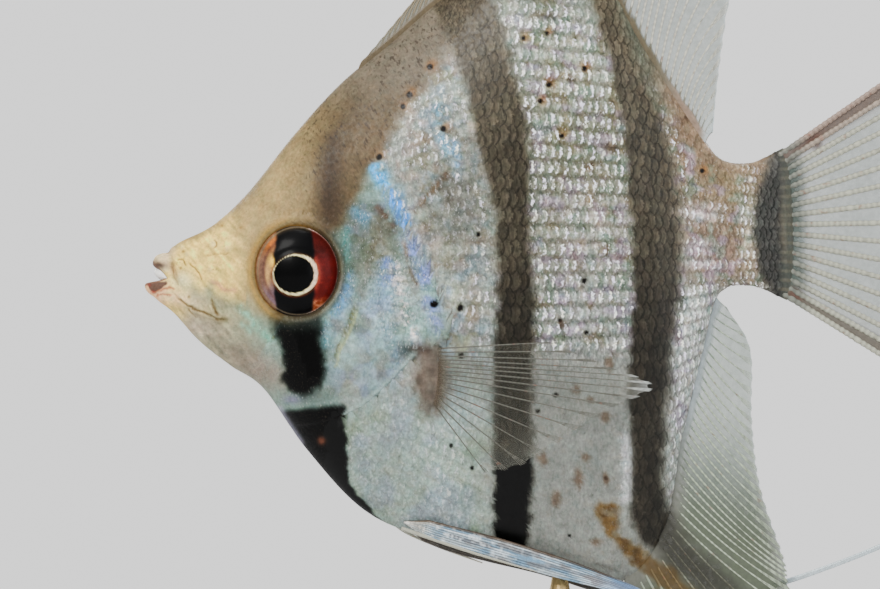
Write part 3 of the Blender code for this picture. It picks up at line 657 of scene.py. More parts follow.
def paint_face(x, z, paint):
    """Lips, the folds of the jaws, nostrils and the skin round the eye, with painted shade and highlight."""
    lips = step(3.6, 2.0, x - 0.2 * (z + 4))
    paint = lay(paint, lips * step(-4.2, -3.4, z), (222, 210, 188), 0.85)
    paint = lay(paint, lips * step(-4.4, -5.2, z), (228, 200, 176), 0.85)
    paint = dabs(paint, x, z, 1, (
        (3.6, -6.9, 2.4, 1.1, (250, 232, 208), 0.8, -1.0),
        (4.2, -4.8, 1.5, 1.1, (238, 236, 212), 0.75),
        (3.2, -3.6, 0.5, 1.2, (184, 168, 146), 0.6, -0.4),
        # Painted shade: a dark oval under the upper lip, where the lip rolls over.
        (1.5, -3.0, 0.9, 0.42, (104, 90, 84), 0.85, -0.5),
    ))
    # The dark band on the inner edge of the lower lip is painted shade inside the mouth.
    inner = band(x, z, ((0.2, -5.35, 0.25), (0.9, -5.6, 0.55), (2.3, -5.2, 0.25)), 0.12, 0.2)
    paint = coats(
        paint,
        (inner, (112, 94, 88), 0.85),
        (patch(x, z, 0.3, -5.3, 0.22, 0.22), (170, 92, 84), 0.8),
        (patch(x, z, 0.8, -6.2, 0.3, 0.2), (160, 88, 78), 0.7),
    )
    wx, wz = wandered(x, z)
    for line, wide, tone, strength in (
        (((0.9, -6.4), (1.6, -6.0), (2.6, -5.7), (3.7, -5.9)), 0.13, (184, 134, 110), 0.7),
        (((1.0, -6.8), (2.0, -6.4), (3.3, -6.6)), 0.13, (184, 134, 110), 0.7),
        # Dark lines along the folds and grooves: painted shade in the creases.
        (GAPE_LINE, 0.10, FOLD_SHADE, 0.7),
        (JAW_END, 0.13, FOLD_SHADE, 0.7),
        (SNOUT_FOLD, 0.07, FOLD_SHADE, 0.55),
        (LIP_FOLD, 0.07, FOLD_SHADE, 0.5),
        (LIP_GROOVE, 0.16, FOLD_SHADE, 0.30),
        (CHIN_FOLD, 0.10, FOLD_SHADE, 0.35),
        (SNOUT_CREASE, 0.07, FOLD_SHADE, 0.3),
        (((7.3, -4.8), (8.7, -5.4), (9.6, -6.0), (11.2, -5.9)), 0.26, (200, 164, 146), 0.6),
        (((7.0, -5.6), (7.6, -7.0), (8.0, -8.6)), 0.34, (206, 198, 170), 0.6),
    ):
        paint = lay(paint, streak(wx, wz, line, wide), tone, strength)
    paint = coats(
        paint,
        (patch(x, z, 7.7, -6.0, 0.5, 1.0), (150, 156, 140), 0.6),
        (patch(x, z, 9.2, -9.5, 0.7, 0.4), (112, 104, 80), 0.6),
    )
    ring = np.hypot(x - NOSTRIL[0], z - NOSTRIL[1])
    paint = lay(paint, hump(ring, 0.42), (240, 230, 190), 0.7)
    # A dark crescent on the rear of the nostril's raised rim is painted shadow.
    paint = lay(paint, hump(ring - 0.44, 0.10) * step(-0.1, 0.3, x - NOSTRIL[0]), (130, 110, 72), 0.7)
    for bx, bz, wide in BUMPS:
        paint = lay(paint, hump(np.hypot(x - bx, z - bz), 0.8 * wide), (228, 216, 178), 0.6)
    # A dark dot in each sunk pore is painted shade.
    for px, pz in PORES:
        paint = lay(paint, hump(np.hypot(x - px, z - pz), 0.18), (130, 112, 76), 0.5)
    reach = eye_reach(x, z)
    paint = coats(
        paint,
        (hump(reach - 1.10, 0.09) * step(1.0, -4.0, x - EYE_X), (172, 148, 100), 0.7),
        # Painted shade: a dark ring in the groove behind and below the eye.
        (hump(reach - 1.10, 0.07) * step(-0.5, 2.5, x - EYE_X - 0.6 * (z - EYE_Z)), (74, 74, 66), 0.45),
        # Painted highlight: a thin pale ring on the rim of the socket.
        (hump(reach - 1.05, 0.035), (172, 164, 146), 0.45),
    )
    # The socket round the eyeball is painted brown, and darker still on its rear side: painted shade in the
    # groove.
    socket = 1 - step(0.97, 1.05, reach)
    paint = lay(paint, socket, (132, 106, 68), 0.85)
    return lay(paint, socket * step(-2.0, 2.0, x - EYE_X - 0.4 * (z - EYE_Z)), (84, 80, 72), 0.9)


def paint_tail_root(x, z, paint):
    """The dark root of the tail fin, with the rays showing through it."""
    paint = lay(paint, step(75.2, 76.6, x), (108, 111, 106), 0.85)
    fan_z = (z - 0.35) * (1 - 0.012 * (x - 76)) + 0.35
    line = 0.5 + 0.5 * np.cos((fan_z - 10.7) / 1.106 * 2 * math.pi)
    return lay(paint, step(75.0, 76.4, x) * step(0.55, 0.9, line), (128, 126, 116), 0.75)


def markings(x, z, share):
    """At places in the side view: colour, gleam, darkness of the scale edges, and streaks of the nape.

    share runs from 0 on the back to 1 on the belly.
    """
    broad, small = clouds(x, z, 6.0, 1) - 0.5, clouds(x, z, 1.3, 2) - 0.5
    grain = clouds(x, z, 0.55, 4)
    painted = paint_flank(x, z, share, broad)
    paint, gleam, outline, hatch = paint_front(x, z, share, broad, small, grain, *painted)
    paint, gleam = paint_shimmer(x, z, grain, paint, gleam)
    painted = paint_marks(x, z, small, grain, paint, gleam, outline)
    paint, gleam, outline, gleam_left, outline_left, plain = painted
    paint = paint_tail_root(x, z, paint_face(x, z, paint))
    gleam = gleam * step(75.6, 74.8, x) * gleam_left
    outline = outline * step(76.0, 75.0, x) * outline_left
    return np.clip(paint, 0, 255), np.clip(gleam, 0, 1), np.clip(outline, 0, 1), np.clip(hatch * plain, 0, 1)


def linear(eye_colour):
    """Light values of a colour given as the eye sees it, from 0 to 255. Pale colours need more hue."""
    value = np.asarray(eye_colour, float) / 255
    middle = value.mean(axis=-1, keepdims=True)
    value = np.clip(middle + (value - middle) * (1 + 0.5 * middle), 0, 1)
    return INK_LIGHT * value**INK_CURVE


# ---------------------------------------------------------------------------------------------
# The skin: soft, wet and slightly see-through over silver. It rolls in at the lips and ends in a
# thin sheath over the root of the tail fin.

RINGS = ((7.0, 40), (8.3, 46), (9.0, 24), (TAIL_ROOT, 14))  # up to this station, rings per station
SIDES_ROUND = 320
LIP_STATION = 0.22  # where the skin turns in
LIP_ROLL, UPPER_LIP_ROLL = 0.36, 0.68  # how thick the lips are
MOUTH_MIDDLE, THROAT = np.array([1.6, 0.0, -4.2]), np.array([6.0, 0.0, -5.9])
MOUTH_DEEP = 1.2  # how far the lining first runs straight back
SHEATH, SHEATH_RINGS = 0.9, 6


def turns_round(count):
    """Turns closer together on the flanks than on the two ridges."""
    even = np.linspace(0, 2 * math.pi, count, endpoint=False)
    return even + 0.25 * np.sin(2 * even)


def lip_rings(turn):
    """Rings from the throat forward and over the lip to the outer skin."""
    rim, _ = skin_at(np.full(turn.shape, LIP_STATION), turn)
    behind, _ = skin_at(np.full(turn.shape, LIP_STATION + 0.25), turn)
    forward = rim - behind
    forward /= np.linalg.norm(forward, axis=1, keepdims=True)
    inward = MOUTH_MIDDLE - rim
    inward -= forward * np.sum(inward * forward, axis=1, keepdims=True)
    inward /= np.linalg.norm(inward, axis=1, keepdims=True)
    across = np.cos(turn)[:, None]
    roll = np.where(across > 0, LIP_ROLL + (UPPER_LIP_ROLL - LIP_ROLL) * across**2, LIP_ROLL)
    roll = roll * (0.6 + 0.4 * np.abs(across))
    centre = rim + inward * roll
    over = [
        centre - inward * roll * math.cos(a) + forward * roll * math.sin(a)
        for a in np.linspace(0, math.pi, 9)[1:]
    ]
    inner = over[-1]
    deep = []
    for share in np.linspace(0, 1, 9)[1:]:
        ring = inner - forward * MOUTH_DEEP * math.sin(share * math.pi / 2)
        deep.append(ring + (THROAT - ring) * share**1.6 * 0.97)
    return deep[::-1] + over[::-1]


def mesh_object(name, verts, faces, smooth_shaded=True):
    mesh = bpy.data.meshes.new(name)
    mesh.from_pydata(np.asarray(verts).tolist(), [], faces)
    mesh.validate()
    if smooth_shaded:
        mesh.shade_smooth()
    made = bpy.data.objects.new(name, mesh)
    bpy.context.collection.objects.link(made)
    return made


def add_values(made, name, values):
    """Stores one number, or one colour, for each point of a mesh."""
    values = np.asarray(values, dtype=np.float32)
    kind, slot = ("FLOAT_COLOR", "color") if values.ndim == 2 else ("FLOAT", "value")
    layer = made.data.attributes.new(name, kind, "POINT")
    if kind == "FLOAT_COLOR":
        values = np.concatenate([values, np.ones((len(values), 1), np.float32)], axis=1)
    layer.data.foreach_set(slot, values.ravel())


def tube_faces(rings, around):
    """Faces between neighbouring rings of points, each ring closed on itself."""
    i = np.arange(rings - 1)[:, None] * around
    j = np.arange(around)[None, :]
    k = (j + 1) % around
    return np.stack([i + j, i + around + j, i + around + k, i + k], -1).reshape(-1, 4).tolist()


def capped_tube(rings, around):
    """Faces of a closed tube: its sides, and a cap on either end."""
    last = (rings - 1) * around
    caps = [list(range(around)), list(range(last + around - 1, last - 1, -1))]
    return tube_faces(rings, around) + caps


def corner_points(made):
    """The point at each corner of each face."""
    found = np.empty(len(made.data.loops), dtype=np.int32)
    made.data.loops.foreach_get("vertex_index", found)
    return found


def unwrap(made, spots):
    """Stores a flat place for each corner of each face."""
    layer = made.data.uv_layers.new(name="OFBake")
    layer.data.foreach_set("uv", spots.astype(np.float32).ravel())


def build_skin():
    turn = turns_round(SIDES_ROUND)
    rings = lip_rings(turn)
    inside = len(rings)
    start = LIP_STATION
    for end, density in RINGS:
        for station in np.linspace(start, end, round((end - start) * density), endpoint=False):
            rings.append(skin_at(np.full(turn.shape, station), turn)[0])
        start = end
    rings.append(skin_at(np.full(turn.shape, TAIL_ROOT), turn)[0])
    end = rings[-1]
    for share in np.linspace(0, 1, SHEATH_RINGS + 1)[1:]:
        ring = end.copy()
        ring[:, 0] += SHEATH * share * (1 - 0.25 * np.cos(2 * turn))
        ring[:, 1] *= 0.05 + 0.95 * (1 - share) ** 0.8
        ring[:, 2] -= (ring[:, 2] - 1.9) * 0.04 * share
        rings.append(ring)
    grid = np.array(rings)
    count = len(grid)
    faces = tube_faces(count, SIDES_ROUND)
    last = (count - 1) * SIDES_ROUND
    half = SIDES_ROUND // 2
    for first, flip in ((0, False), (last, True)):
        for j in range(half):
            k, l = j + 1, (SIDES_ROUND - j - 1) % SIDES_ROUND
            face = [first + j, first + k, first + l, first + (SIDES_ROUND - j) % SIDES_ROUND]
            face = list(dict.fromkeys(face))
            faces.append(face[::-1] if flip else face)
    places = grid.reshape(-1, 3)
    sides = np.array(faces[: (count - 1) * SIDES_ROUND])
    a, b, c, d = (places[sides[:, i]] for i in range(4))
    long = np.linalg.norm(a - c, axis=1) > np.linalg.norm(b - d, axis=1)
    sides[long] = np.roll(sides[long], 1, axis=1)  # each face folds along its shorter diagonal
    faces[: len(sides)] = sides.tolist()
    made = mesh_object("skin", world(*places.T), faces)
    share = np.tile((1 - np.cos(turn)) / 2, count)
    paint, gleam, outline, hatch = markings(places[:, 0], places[:, 2], share)
    paint = paint.reshape(count, SIDES_ROUND, 3)
    for i in range(inside):
        depth = 1 - i / inside
        shade = step(0.35, 0.75, depth)
        rim_tone = np.where((np.cos(turn) > 0)[:, None], (128, 108, 100), (132, 106, 98))
        paint[i] = paint[i] * 0.35 + 0.65 * rim_tone
        paint[i] = paint[i] * (1 - shade) + np.array((70, 58, 54)) * shade
    add_values(made, "tone", linear(paint.reshape(-1, 3)))
    add_values(made, "gleam", gleam)
    add_values(made, "hatch", hatch)
    corner, sides = corner_points(made), made.data.polygons
    first = np.repeat([side.loop_start for side in sides], [side.loop_total for side in sides])
    row, column = corner // SIDES_ROUND, corner % SIDES_ROUND
    wraps = (column == 0) & (corner[first] % SIDES_ROUND == SIDES_ROUND - 1)
    column = np.where(wraps, SIDES_ROUND, column)
    spots = [0.01 + 0.98 * row / (count - 1), 0.01 + 0.98 * column / SIDES_ROUND]
    unwrap(made, np.stack(spots, -1))
    return made


def new_finish(name):
    """A new material, its nodes and its main shader."""
    made = bpy.data.materials.new(name)
    made.use_nodes = True
    nodes = made.node_tree.nodes
    return made, nodes, nodes["Principled BSDF"]


def add(nodes, kind, inputs, **settings):
    """A new node. An input takes either a value or another node's output."""
    made = nodes.new("ShaderNode" + kind)
    for key, value in settings.items():
        setattr(made, key, value)
    feed(made, inputs)
    return made


def feed(node, inputs):
    for key, value in inputs.items():
        if isinstance(value, bpy.types.NodeSocket):
            node.id_data.links.new(value, node.inputs[key])
        else:
            node.inputs[key].default_value = value


def stored(nodes, name, kind="Fac"):
    """A number stored with the mesh, or with "Color" a stored colour."""
    return add(nodes, "Attribute", {}, attribute_name=name).outputs[kind]


def noise(nodes, size, detail=2.0, stretch=(1.0, 1.0, 1.0), lean=0.0):
    """Noise in patches of about the given size in millimetres, drawn out along axes that may lean."""
    place = add(nodes, "TexCoord", {}).outputs["Object"]
    inputs = {"Vector": place, "Scale": stretch, "Rotation": (0.0, lean, 0.0)}
    drawn = add(nodes, "Mapping", inputs, vector_type="TEXTURE").outputs[0]
    inputs = {"Vector": drawn, "Scale": 1 / (size * MM), "Detail": detail}
    return add(nodes, "TexNoise", inputs).outputs["Fac"]


def ranged(nodes, value, low, high, to_low, to_high):
    """A value mapped softly from one range to another and held inside it."""
    inputs = {"Value": value, "From Min": low, "From Max": high, "To Min": to_low, "To Max": to_high}
    return add(nodes, "MapRange", inputs, interpolation_type="SMOOTHSTEP").outputs["Result"]


def times(nodes, a, b):
    return add(nodes, "Math", {0: a, 1: b}, operation="MULTIPLY").outputs[0]


def plus(nodes, a, b):
    return add(nodes, "Math", {0: a, 1: b}, operation="ADD").outputs[0]


def mixed(nodes, share, a, b, way="MIX"):
    """Two colours mixed; sockets 6 and 7 of the node are its colours."""
    return add(nodes, "Mix", {0: share, 6: a, 7: b}, data_type="RGBA", blend_type=way).outputs[2]


def tinted(nodes, colour, tint):
    return mixed(nodes, 1.0, colour, tint, "MULTIPLY")


def bumped(nodes, height, strength, deep, **settings):
    """The direction of a surface roughened by a height; deep is in millimetres."""
    inputs = {"Height": height, "Strength": strength, "Distance": deep * MM}
    return add(nodes, "Bump", inputs, **settings).outputs[0]


def ramp(nodes, value, first, last, *between):
    """The colour for a value. Each stop is a place and its colour."""
    made = add(nodes, "ValToRGB", {"Fac": value})
    stops = made.color_ramp.elements
    for stop, (place, colour) in zip(stops, (first, last)):
        stop.position, stop.color = place, colour
    for place, colour in between:
        stops.new(place).color = colour
    return made.outputs["Color"]


def grey(value):
    return (value, value, value, 1.0)


def flecked(nodes, tone, gleam):
    """The painted tone broken up: dark and light grains, faint hues, brown pits and white sparks of painted
    glint.
    """
    contrast = ranged(nodes, gleam, 0.0, 0.7, 0.42, 1.0)
    grain = mixed(nodes, ranged(nodes, noise(nodes, 0.34, 4.0), 0.34, 0.66, 0.0, 1.0), grey(0.74), grey(1.26))
    colour = tinted(nodes, tone, mixed(nodes, contrast, grey(1.0), grain))
    hue = ramp(
        nodes,
        noise(nodes, 1.0, 4.0),
        (0.34, (0.72, 0.92, 1.0, 1.0)),
        (0.66, (1.0, 0.82, 0.66, 1.0)),
        (0.46, (0.92, 0.98, 0.88, 1.0)),
        (0.55, (1.0, 0.92, 1.0, 1.0)),
    )
    colour = mixed(nodes, times(nodes, contrast, 0.6), colour, tinted(nodes, colour, hue))
    pits = ranged(nodes, noise(nodes, 0.5, 3.0), 0.28, 0.40, 1.0, 0.0)
    pits = times(nodes, pits, times(nodes, contrast, 0.5))
    colour = mixed(nodes, pits, colour, tinted(nodes, colour, (0.50, 0.44, 0.34, 1.0)))
    sparks = ranged(nodes, noise(nodes, 0.24, 2.0, (0.8, 1.0, 1.6)), 0.62, 0.72, 0.0, 0.8)
    return mixed(nodes, times(nodes, sparks, gleam), colour, (0.86, 0.86, 0.84, 1.0))


def streaked(nodes, colour, hatch):
    """Thin dark strokes that lean forward over the nape."""
    strokes = ranged(nodes, noise(nodes, 0.34, 2.0, (1.0, 1.0, 5.0), -0.55), 0.54, 0.70, 0.0, 0.75)
    return mixed(nodes, times(nodes, strokes, hatch), colour, (0.035, 0.026, 0.020, 1.0))


def skin_finish():
    """Pigment in the skin, silver under it and a thin wet film on top."""
    made, nodes, shader = new_finish("wet_skin")
    tone, gleam = stored(nodes, "tone", "Color"), stored(nodes, "gleam")
    colour = streaked(nodes, flecked(nodes, tone, gleam), stored(nodes, "hatch"))
    freckle = ranged(nodes, noise(nodes, 0.16, 1.0), 0.62, 0.76, 0.0, 0.40)
    colour = mixed(nodes, freckle, colour, (0.05, 0.04, 0.03, 1.0))
    pores = noise(nodes, 0.10, 2.0)
    folds = noise(nodes, 0.7, 3.0, (1.0, 1.0, 1.4))
    bump = bumped(nodes, plus(nodes, pores, folds), 0.55, 0.10)
    rough = ranged(nodes, noise(nodes, 0.4, 2.0), 0.3, 0.7, 0.28, 0.46)
    metal = times(nodes, gleam, 0.25)
    feed(shader, {"Base Color": colour, "Roughness": rough, "Metallic": metal, "Normal": bump})
    feed(shader, {"Specular IOR Level": 0.09})
    return made


skin = build_skin()
skin.data.materials.append(skin_finish())
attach(skin, "root")
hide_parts("head", "upper_jaw", "lower_jaw", "gill_cover_left", "gill_cover_right", "trunk", "tail")


# ---------------------------------------------------------------------------------------------
# The scales: thin bony plates in rows, rooted in the skin and overlapping like tiles, with the
# free edge towards the tail. Large ones cover the flank; small ones cover the nape, the cheek,
# the gill cover and the breast. Each is a closed shell, joined with its neighbours into one piece.

SCALE_SIZES = ((14, 22, 30, 42, 58, 66, 80), (0.80, 1.05, 1.45, 1.95, 1.85, 1.45, 1.10))  # x, row height
PACE = 0.54  # distance between scales in a row, as a share of the row height
SCALE_LONG, SCALE_TALL = 2.3, 0.88  # length in paces, and half height in rows
SCALE_ARC = 0.30  # how far the free edge curves forward at its ends
SCALE_LIFT = 0.10  # height of the free edge over the skin
ROW_REFERENCE = -3.0  # height of the row that runs straight back from the eye
SMALL, SMALL_LIFT = 0.52, 0.05  # size of the small scales against the large ones, and their lift
SCALE_ROOT = 0.62  # share of a scale's length that lies in front of its root
SCALE_TILT = 0.24  # how far scales may be turned from their row, as a slope
SCALE_LEAST, SCALE_VARIETY = 0.90, 0.20  # smallest size of a scale in its row, and what chance may add
SCALE_FLAT = 0.0015  # half size of a scale in the flat layout of the coat


class Lie:
    """Finds the place on the skin at a station and a distance round the ring from the middle row."""

    def __init__(self):
        self.stations = np.linspace(3.0, TAIL_ROOT + 0.4, 500)
        turns = np.linspace(-0.5, math.pi + 0.5, 900)
        grid = bare_body(np.minimum(self.stations, TAIL_ROOT)[:, None], turns[None, :])
        arc = np.cumsum(np.linalg.norm(np.diff(grid, axis=1, prepend=grid[:, :1]), axis=2), axis=1)
        self.down = np.linspace(-60.0, 60.0, 1201)
        self.turns = np.empty((len(self.stations), len(self.down)))
        self.middle_x = np.empty(len(self.stations))
        for i, points in enumerate(grid):
            inner = (turns > 0.0) & (turns < math.pi)
            nearest = np.argmin(np.abs(points[:, 2] - ROW_REFERENCE) + 99.0 * ~inner)
            self.middle_x[i] = points[nearest, 0]
            self.turns[i] = np.interp(self.down, arc[i] - arc[i, nearest], turns)

    def turn(self, station, down):
        """The turn at each station and distance down from the middle row, between tabled values."""
        i = np.interp(station, self.stations, np.arange(len(self.stations)))
        j = np.interp(down, self.down, np.arange(len(self.down)))
        i0 = np.minimum(i.astype(int), len(self.stations) - 2)
        j0 = np.minimum(j.astype(int), len(self.down) - 2)
        ti, tj = i - i0, j - j0
        upper = self.turns[i0, j0] * (1 - tj) + self.turns[i0, j0 + 1] * tj
        lower = self.turns[i0 + 1, j0] * (1 - tj) + self.turns[i0 + 1, j0 + 1] * tj
        return upper * (1 - ti) + lower * ti


def rows_of_roots(lie, size):
    """Station, distance down and row height for every scale that could stand on one flank."""
    x, column, found = 10.0, 0, []
    while x < 75.2:
        height = np.interp(x, *SCALE_SIZES) * size
        station = np.interp(x, lie.middle_x, lie.stations)
        count = int(56 / height)
        for row in range(-count, count + 1):
            if (row + column) % 2 == 0:
                found.append((station, row * height, height))
        x += height * PACE / 2
        column += 1
    return np.array(found)


def grid_rim(rows, columns):
    """The points round the edge of a grid, in order."""
    rim = list(range(columns - 1))
    rim += [i * columns + columns - 1 for i in range(rows - 1)]
    rim += [(rows - 1) * columns + j for j in range(columns - 1, 0, -1)]
    return rim + [i * columns for i in range(rows - 1, 0, -1)]


def plate_faces(rows, columns, count, side):
    """Faces of as many plates: the top of each as a grid, and a fan from its rim to a point below."""
    points = rows * columns + 1
    starts = [i * columns + j for i in range(rows - 1) for j in range(columns - 1)]
    faces = [(a, a + columns, a + columns + 1, a + 1) for a in starts]
    rim = grid_rim(rows, columns)
    faces += [(b, a, points - 1) for a, b in zip(rim[1:] + rim[:1], rim)]
    if side > 0:
        faces = [face[::-1] for face in faces]
    return [tuple(v + k * points for v in face) for k in range(count) for face in faces]


def clad(name, lie, size, grid, keep, side, seed, lift=SCALE_LIFT):
    """One piece of coat: the scales of one size on one side, where keep(x, z) is above a half."""
    draw = np.random.default_rng(seed)
    roots = rows_of_roots(lie, size)
    station, down, height = roots.T
    turn = lie.turn(station, down)
    inside = (turn > 0.02) & (turn < math.pi - 0.02)
    place = bare_body(np.minimum(station, TAIL_ROOT), turn)
    chance = draw.random((len(roots), 5))
    wanted = inside & (keep(place[:, 0], place[:, 2]) > 0.5)
    station, down, height = station[wanted], down[wanted], height[wanted]
    place, turn, chance = place[wanted], turn[wanted], chance[wanted]
    ahead = lie.turn(station + 0.02, down)
    run = np.linalg.norm(bare_body(station + 0.02, ahead) - place, axis=1) / 0.02
    run = np.maximum(run, 1.0)

    bold = markings(place[:, 0], place[:, 2], (1 - np.cos(turn)) / 2)[2]
    bold = np.clip(1.6 * bold, 0.1, 1)[:, None]  # how much each scale stands out from its neighbours

    long_steps, tall_steps = grid
    t, w = np.meshgrid(np.linspace(0, 1, long_steps + 1), np.linspace(-1, 1, tall_steps + 1), indexing="ij")
    t, w = t.ravel(), w.ravel()
    length = (height * PACE * SCALE_LONG * (SCALE_LEAST + SCALE_VARIETY * chance[:, 0]))[:, None]
    half = (height * SCALE_TALL * (SCALE_LEAST + SCALE_VARIETY * chance[:, 1]))[:, None]
    back = length * (t - SCALE_ROOT - SCALE_ARC * t * w**2 + 0.10 * (chance[:, 4][:, None] - 0.5))
    up = half * w * (0.72 + 0.28 * np.sin(math.pi * np.minimum(t + 0.15, 1)))
    tilt = (chance[:, 2] - 0.5)[:, None] * SCALE_TILT
    s = station[:, None] + (back - up * tilt) / run[:, None]
    q = down[:, None] + up + back * tilt
    spot, out = skin_at(np.clip(s, 0.3, TAIL_ROOT), lie.turn(s, q))
    past = np.maximum(s - TAIL_ROOT, 0) * run[:, None]
    spot[..., 0] += past
    lift = lift * (height / 1.9)[:, None] ** 0.8 * (0.25 + 0.75 * bold)
    lift = lift * (0.15 + 0.85 * step(0.5, 0.95, scaled(place[:, 0], place[:, 2])))[:, None]
    rise = 0.15 + (0.75 + 0.5 * chance[:, 3][:, None]) * t**1.3 + 0.25 * (1 - w**2) * np.sin(math.pi * t)
    top = spot + out * (lift * rise)[..., None]
    under = top[:, len(t) // 2] - out[:, len(t) // 2] * (lift * 1.2)
    top[..., 1] *= -side
    under[..., 1] *= -side

    count, points = len(station), len(t) + 1
    verts = np.concatenate([top, under[:, None, :]], axis=1).reshape(-1, 3)
    faces = plate_faces(long_steps + 1, tall_steps + 1, count, side)
    made = mesh_object(name, world(*verts.T), faces)
    made.data.set_sharp_from_angle(angle=math.radians(50))

    share = (1 - np.cos(lie.turn(s, q))) / 2
    share = np.concatenate([share, ((1 - np.cos(turn)) / 2)[:, None]], axis=1)
    flat = verts.reshape(count, points, 3)
    paint, gleam, outline, hatch = markings(flat[..., 0], flat[..., 2], share)
    paint = paint * (1 + 0.12 * (chance[:, :1] - 0.5) * (0.25 + bold))[..., None]
    add_values(made, "tone", linear(paint.reshape(-1, 3)))
    add_values(made, "gleam", gleam.ravel())
    add_values(made, "outline", outline.ravel())
    add_values(made, "hatch", hatch.ravel())
    add_values(made, "reach", np.tile(np.append(t, 0.5), count))
    add_values(made, "across", np.tile(np.append(w, 0.0), count))
    add_values(made, "chance", np.repeat(chance[:, 1], points))

    u = 0.01 + 0.98 * station / (TAIL_ROOT + 1)
    v = 0.01 + 0.98 * (turn if side < 0 else 2 * math.pi - turn) / (2 * math.pi)
    u = u[:, None] + SCALE_FLAT * np.append(2 * t - 1, 0.0)
    v = v[:, None] + SCALE_FLAT * np.append(w, 0.0)
    unwrap(made, np.stack([u, v], -1).reshape(-1, 2)[corner_points(made)])
    return made


def scale_finish(name, shininess):
    """Silver plate with pigment: a broken pearly line of painted glints along the free edge, and a dark rim
    outside it.
    """
    made, nodes, shader = new_finish(name)
    tone, gleam = stored(nodes, "tone", "Color"), stored(nodes, "gleam")
    reach, across = stored(nodes, "reach"), stored(nodes, "across")
    chance, outline = stored(nodes, "chance"), stored(nodes, "outline")
    colour = streaked(nodes, flecked(nodes, tone, gleam), stored(nodes, "hatch"))
    drawn = (1.0 - 0.3 * shininess, 1.0, 1.0 + 1.2 * shininess)
    wisps = ranged(nodes, noise(nodes, 0.36, 4.0, drawn), 0.34, 0.66, 0.0, 1.0)
    wisped = tinted(nodes, colour, mixed(nodes, wisps, grey(0.76), grey(1.24)))
    colour = mixed(nodes, ranged(nodes, outline, 0.05, 0.4, 0.35, 1.0), colour, wisped)
    off = add(nodes, "Math", {0: across}, operation="ABSOLUTE").outputs[0]
    off = plus(nodes, off, times(nodes, noise(nodes, 0.7, 3.0), 0.4))
    # Towards the rows' edges the plates are painted darker: painted shade where each row tucks under the
    # next.
    gap = times(nodes, ranged(nodes, off, 0.42, 0.80, 0.0, shininess), gleam)
    colour = mixed(nodes, gap, colour, tinted(nodes, colour, (0.66, 0.64, 0.62, 1.0)))
    wander = times(nodes, noise(nodes, 0.36, 4.0), 0.50)
    place = plus(nodes, reach, wander)
    edge = times(nodes, ranged(nodes, place, 1.08, 1.17, 0.0, 1.0), outline)
    colour = mixed(nodes, edge, colour, tinted(nodes, colour, grey(0.42)))
    begun = ranged(nodes, place, 0.95, 1.03, 0.0, 1.0)
    line = times(nodes, begun, ranged(nodes, place, 1.09, 1.15, 1.0, 0.0))
    middle = ranged(nodes, off, 0.54, 0.84, 1.0, 0.0)
    # A pale crescent just inside the dark rim is painted highlight on the free edge.
    pale = times(nodes, times(nodes, line, middle), times(nodes, outline, 0.45))
    colour = mixed(nodes, pale, colour, tinted(nodes, colour, grey(1.9)))
    broken = ranged(nodes, noise(nodes, 0.4, 4.0, (1.0, 1.0, 1.8)), 0.42, 0.54, 0.10, 1.0)
    luck = plus(nodes, times(nodes, chance, 0.45), times(nodes, noise(nodes, 4.0, 4.0), 2.0))
    shine = ranged(nodes, luck, 0.92, 1.40, 0.15, 1.4)
    shine = times(nodes, shine, ranged(nodes, gleam, 0.15, 0.80, 0.0, shininess))
    glint = times(nodes, times(nodes, times(nodes, line, middle), broken), shine)
    hue = ramp(
        nodes,
        noise(nodes, 1.1, 2.0),
        (0.38, (0.90, 0.84, 1.0, 1.0)),
        (0.62, (1.0, 0.98, 0.84, 1.0)),
        (0.50, (0.97, 0.99, 1.0, 1.0)),
    )
    colour = mixed(nodes, glint, colour, hue)
    ridge = noise(nodes, 0.22, 2.0, (0.6, 1.0, 2.5))
    bump = bumped(nodes, ridge, 0.22, 0.04)
    metal = times(nodes, gleam, 0.25)
    rough = ranged(nodes, noise(nodes, 0.5, 2.0), 0.3, 0.7, 0.30, 0.46)
    feed(shader, {"Base Color": colour, "Roughness": rough, "Metallic": metal, "Normal": bump})
    feed(shader, {"Specular IOR Level": 0.05 + 0.09 * shininess})
    return made


def on_flank(x, z):
    """Where the large scales stand: behind the gill cover and the nape, and off the fin's root."""
    bare = pad_reach(x, z) < 1.2
    return (1 - gill_side(x, z)) * (1 - nape_side(x, z)) * ~bare * step(20, 24, x)


def spotted(x, z):
    """Where a scale carries one of the small dark spots, and so needs a finer surface."""
    return np.any([np.hypot(x - sx, z - sz) < 1.5 for sx, sz, radius in SPOTS], axis=0)


def on_head(x, z):
    """Where the small scales stand."""
    throat = (x < 24) & (z < -16.0) & (z > -21.5)
    outside = scaled(x, z) * (eye_reach(x, z) > 1.22) * (x < 46) * ~throat
    return outside * (1 - on_flank(x, z)) * (pad_reach(x, z) > 1.2)


SIDES = (("left", -1), ("right", 1))  # side of the fish, and which way it lies along Y
lie = Lie()
plate, small_plate = scale_finish("scale_plate", 1.0), scale_finish("small_scale_plate", 0.2)
for word, side in SIDES:
    pieces = []
    for part, size, keep, finish, lift, plain_grid, fine_grid in (
        ("flank", 1.0, on_flank, plate, SCALE_LIFT, (5, 10), (10, 18)),
        ("head", SMALL, on_head, small_plate, SMALL_LIFT, (3, 5), (7, 10)),
    ):
        for kind, grid, want in (("plain", plain_grid, 0), ("spotted", fine_grid, 1)):

            def chosen(x, z, keep=keep, want=want):
                return keep(x, z) * (spotted(x, z) == want)

            name = f"{part}_scales_{kind}_{word}"
            pieces.append((clad(name, lie, size, grid, chosen, side, 10 + side, lift), finish))
    for piece, finish in pieces:
        piece.data.materials.append(finish)
        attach(piece, "root")


# ---------------------------------------------------------------------------------------------
# The mouth lining: the white membrane that shows between the parted lips. It is a small closed
# pad behind the rims of the lips, slightly puckered.

LINING_X, LINING_Z = 2.75, -4.35
LINING_RADII = (1.9, 1.05, 0.90)


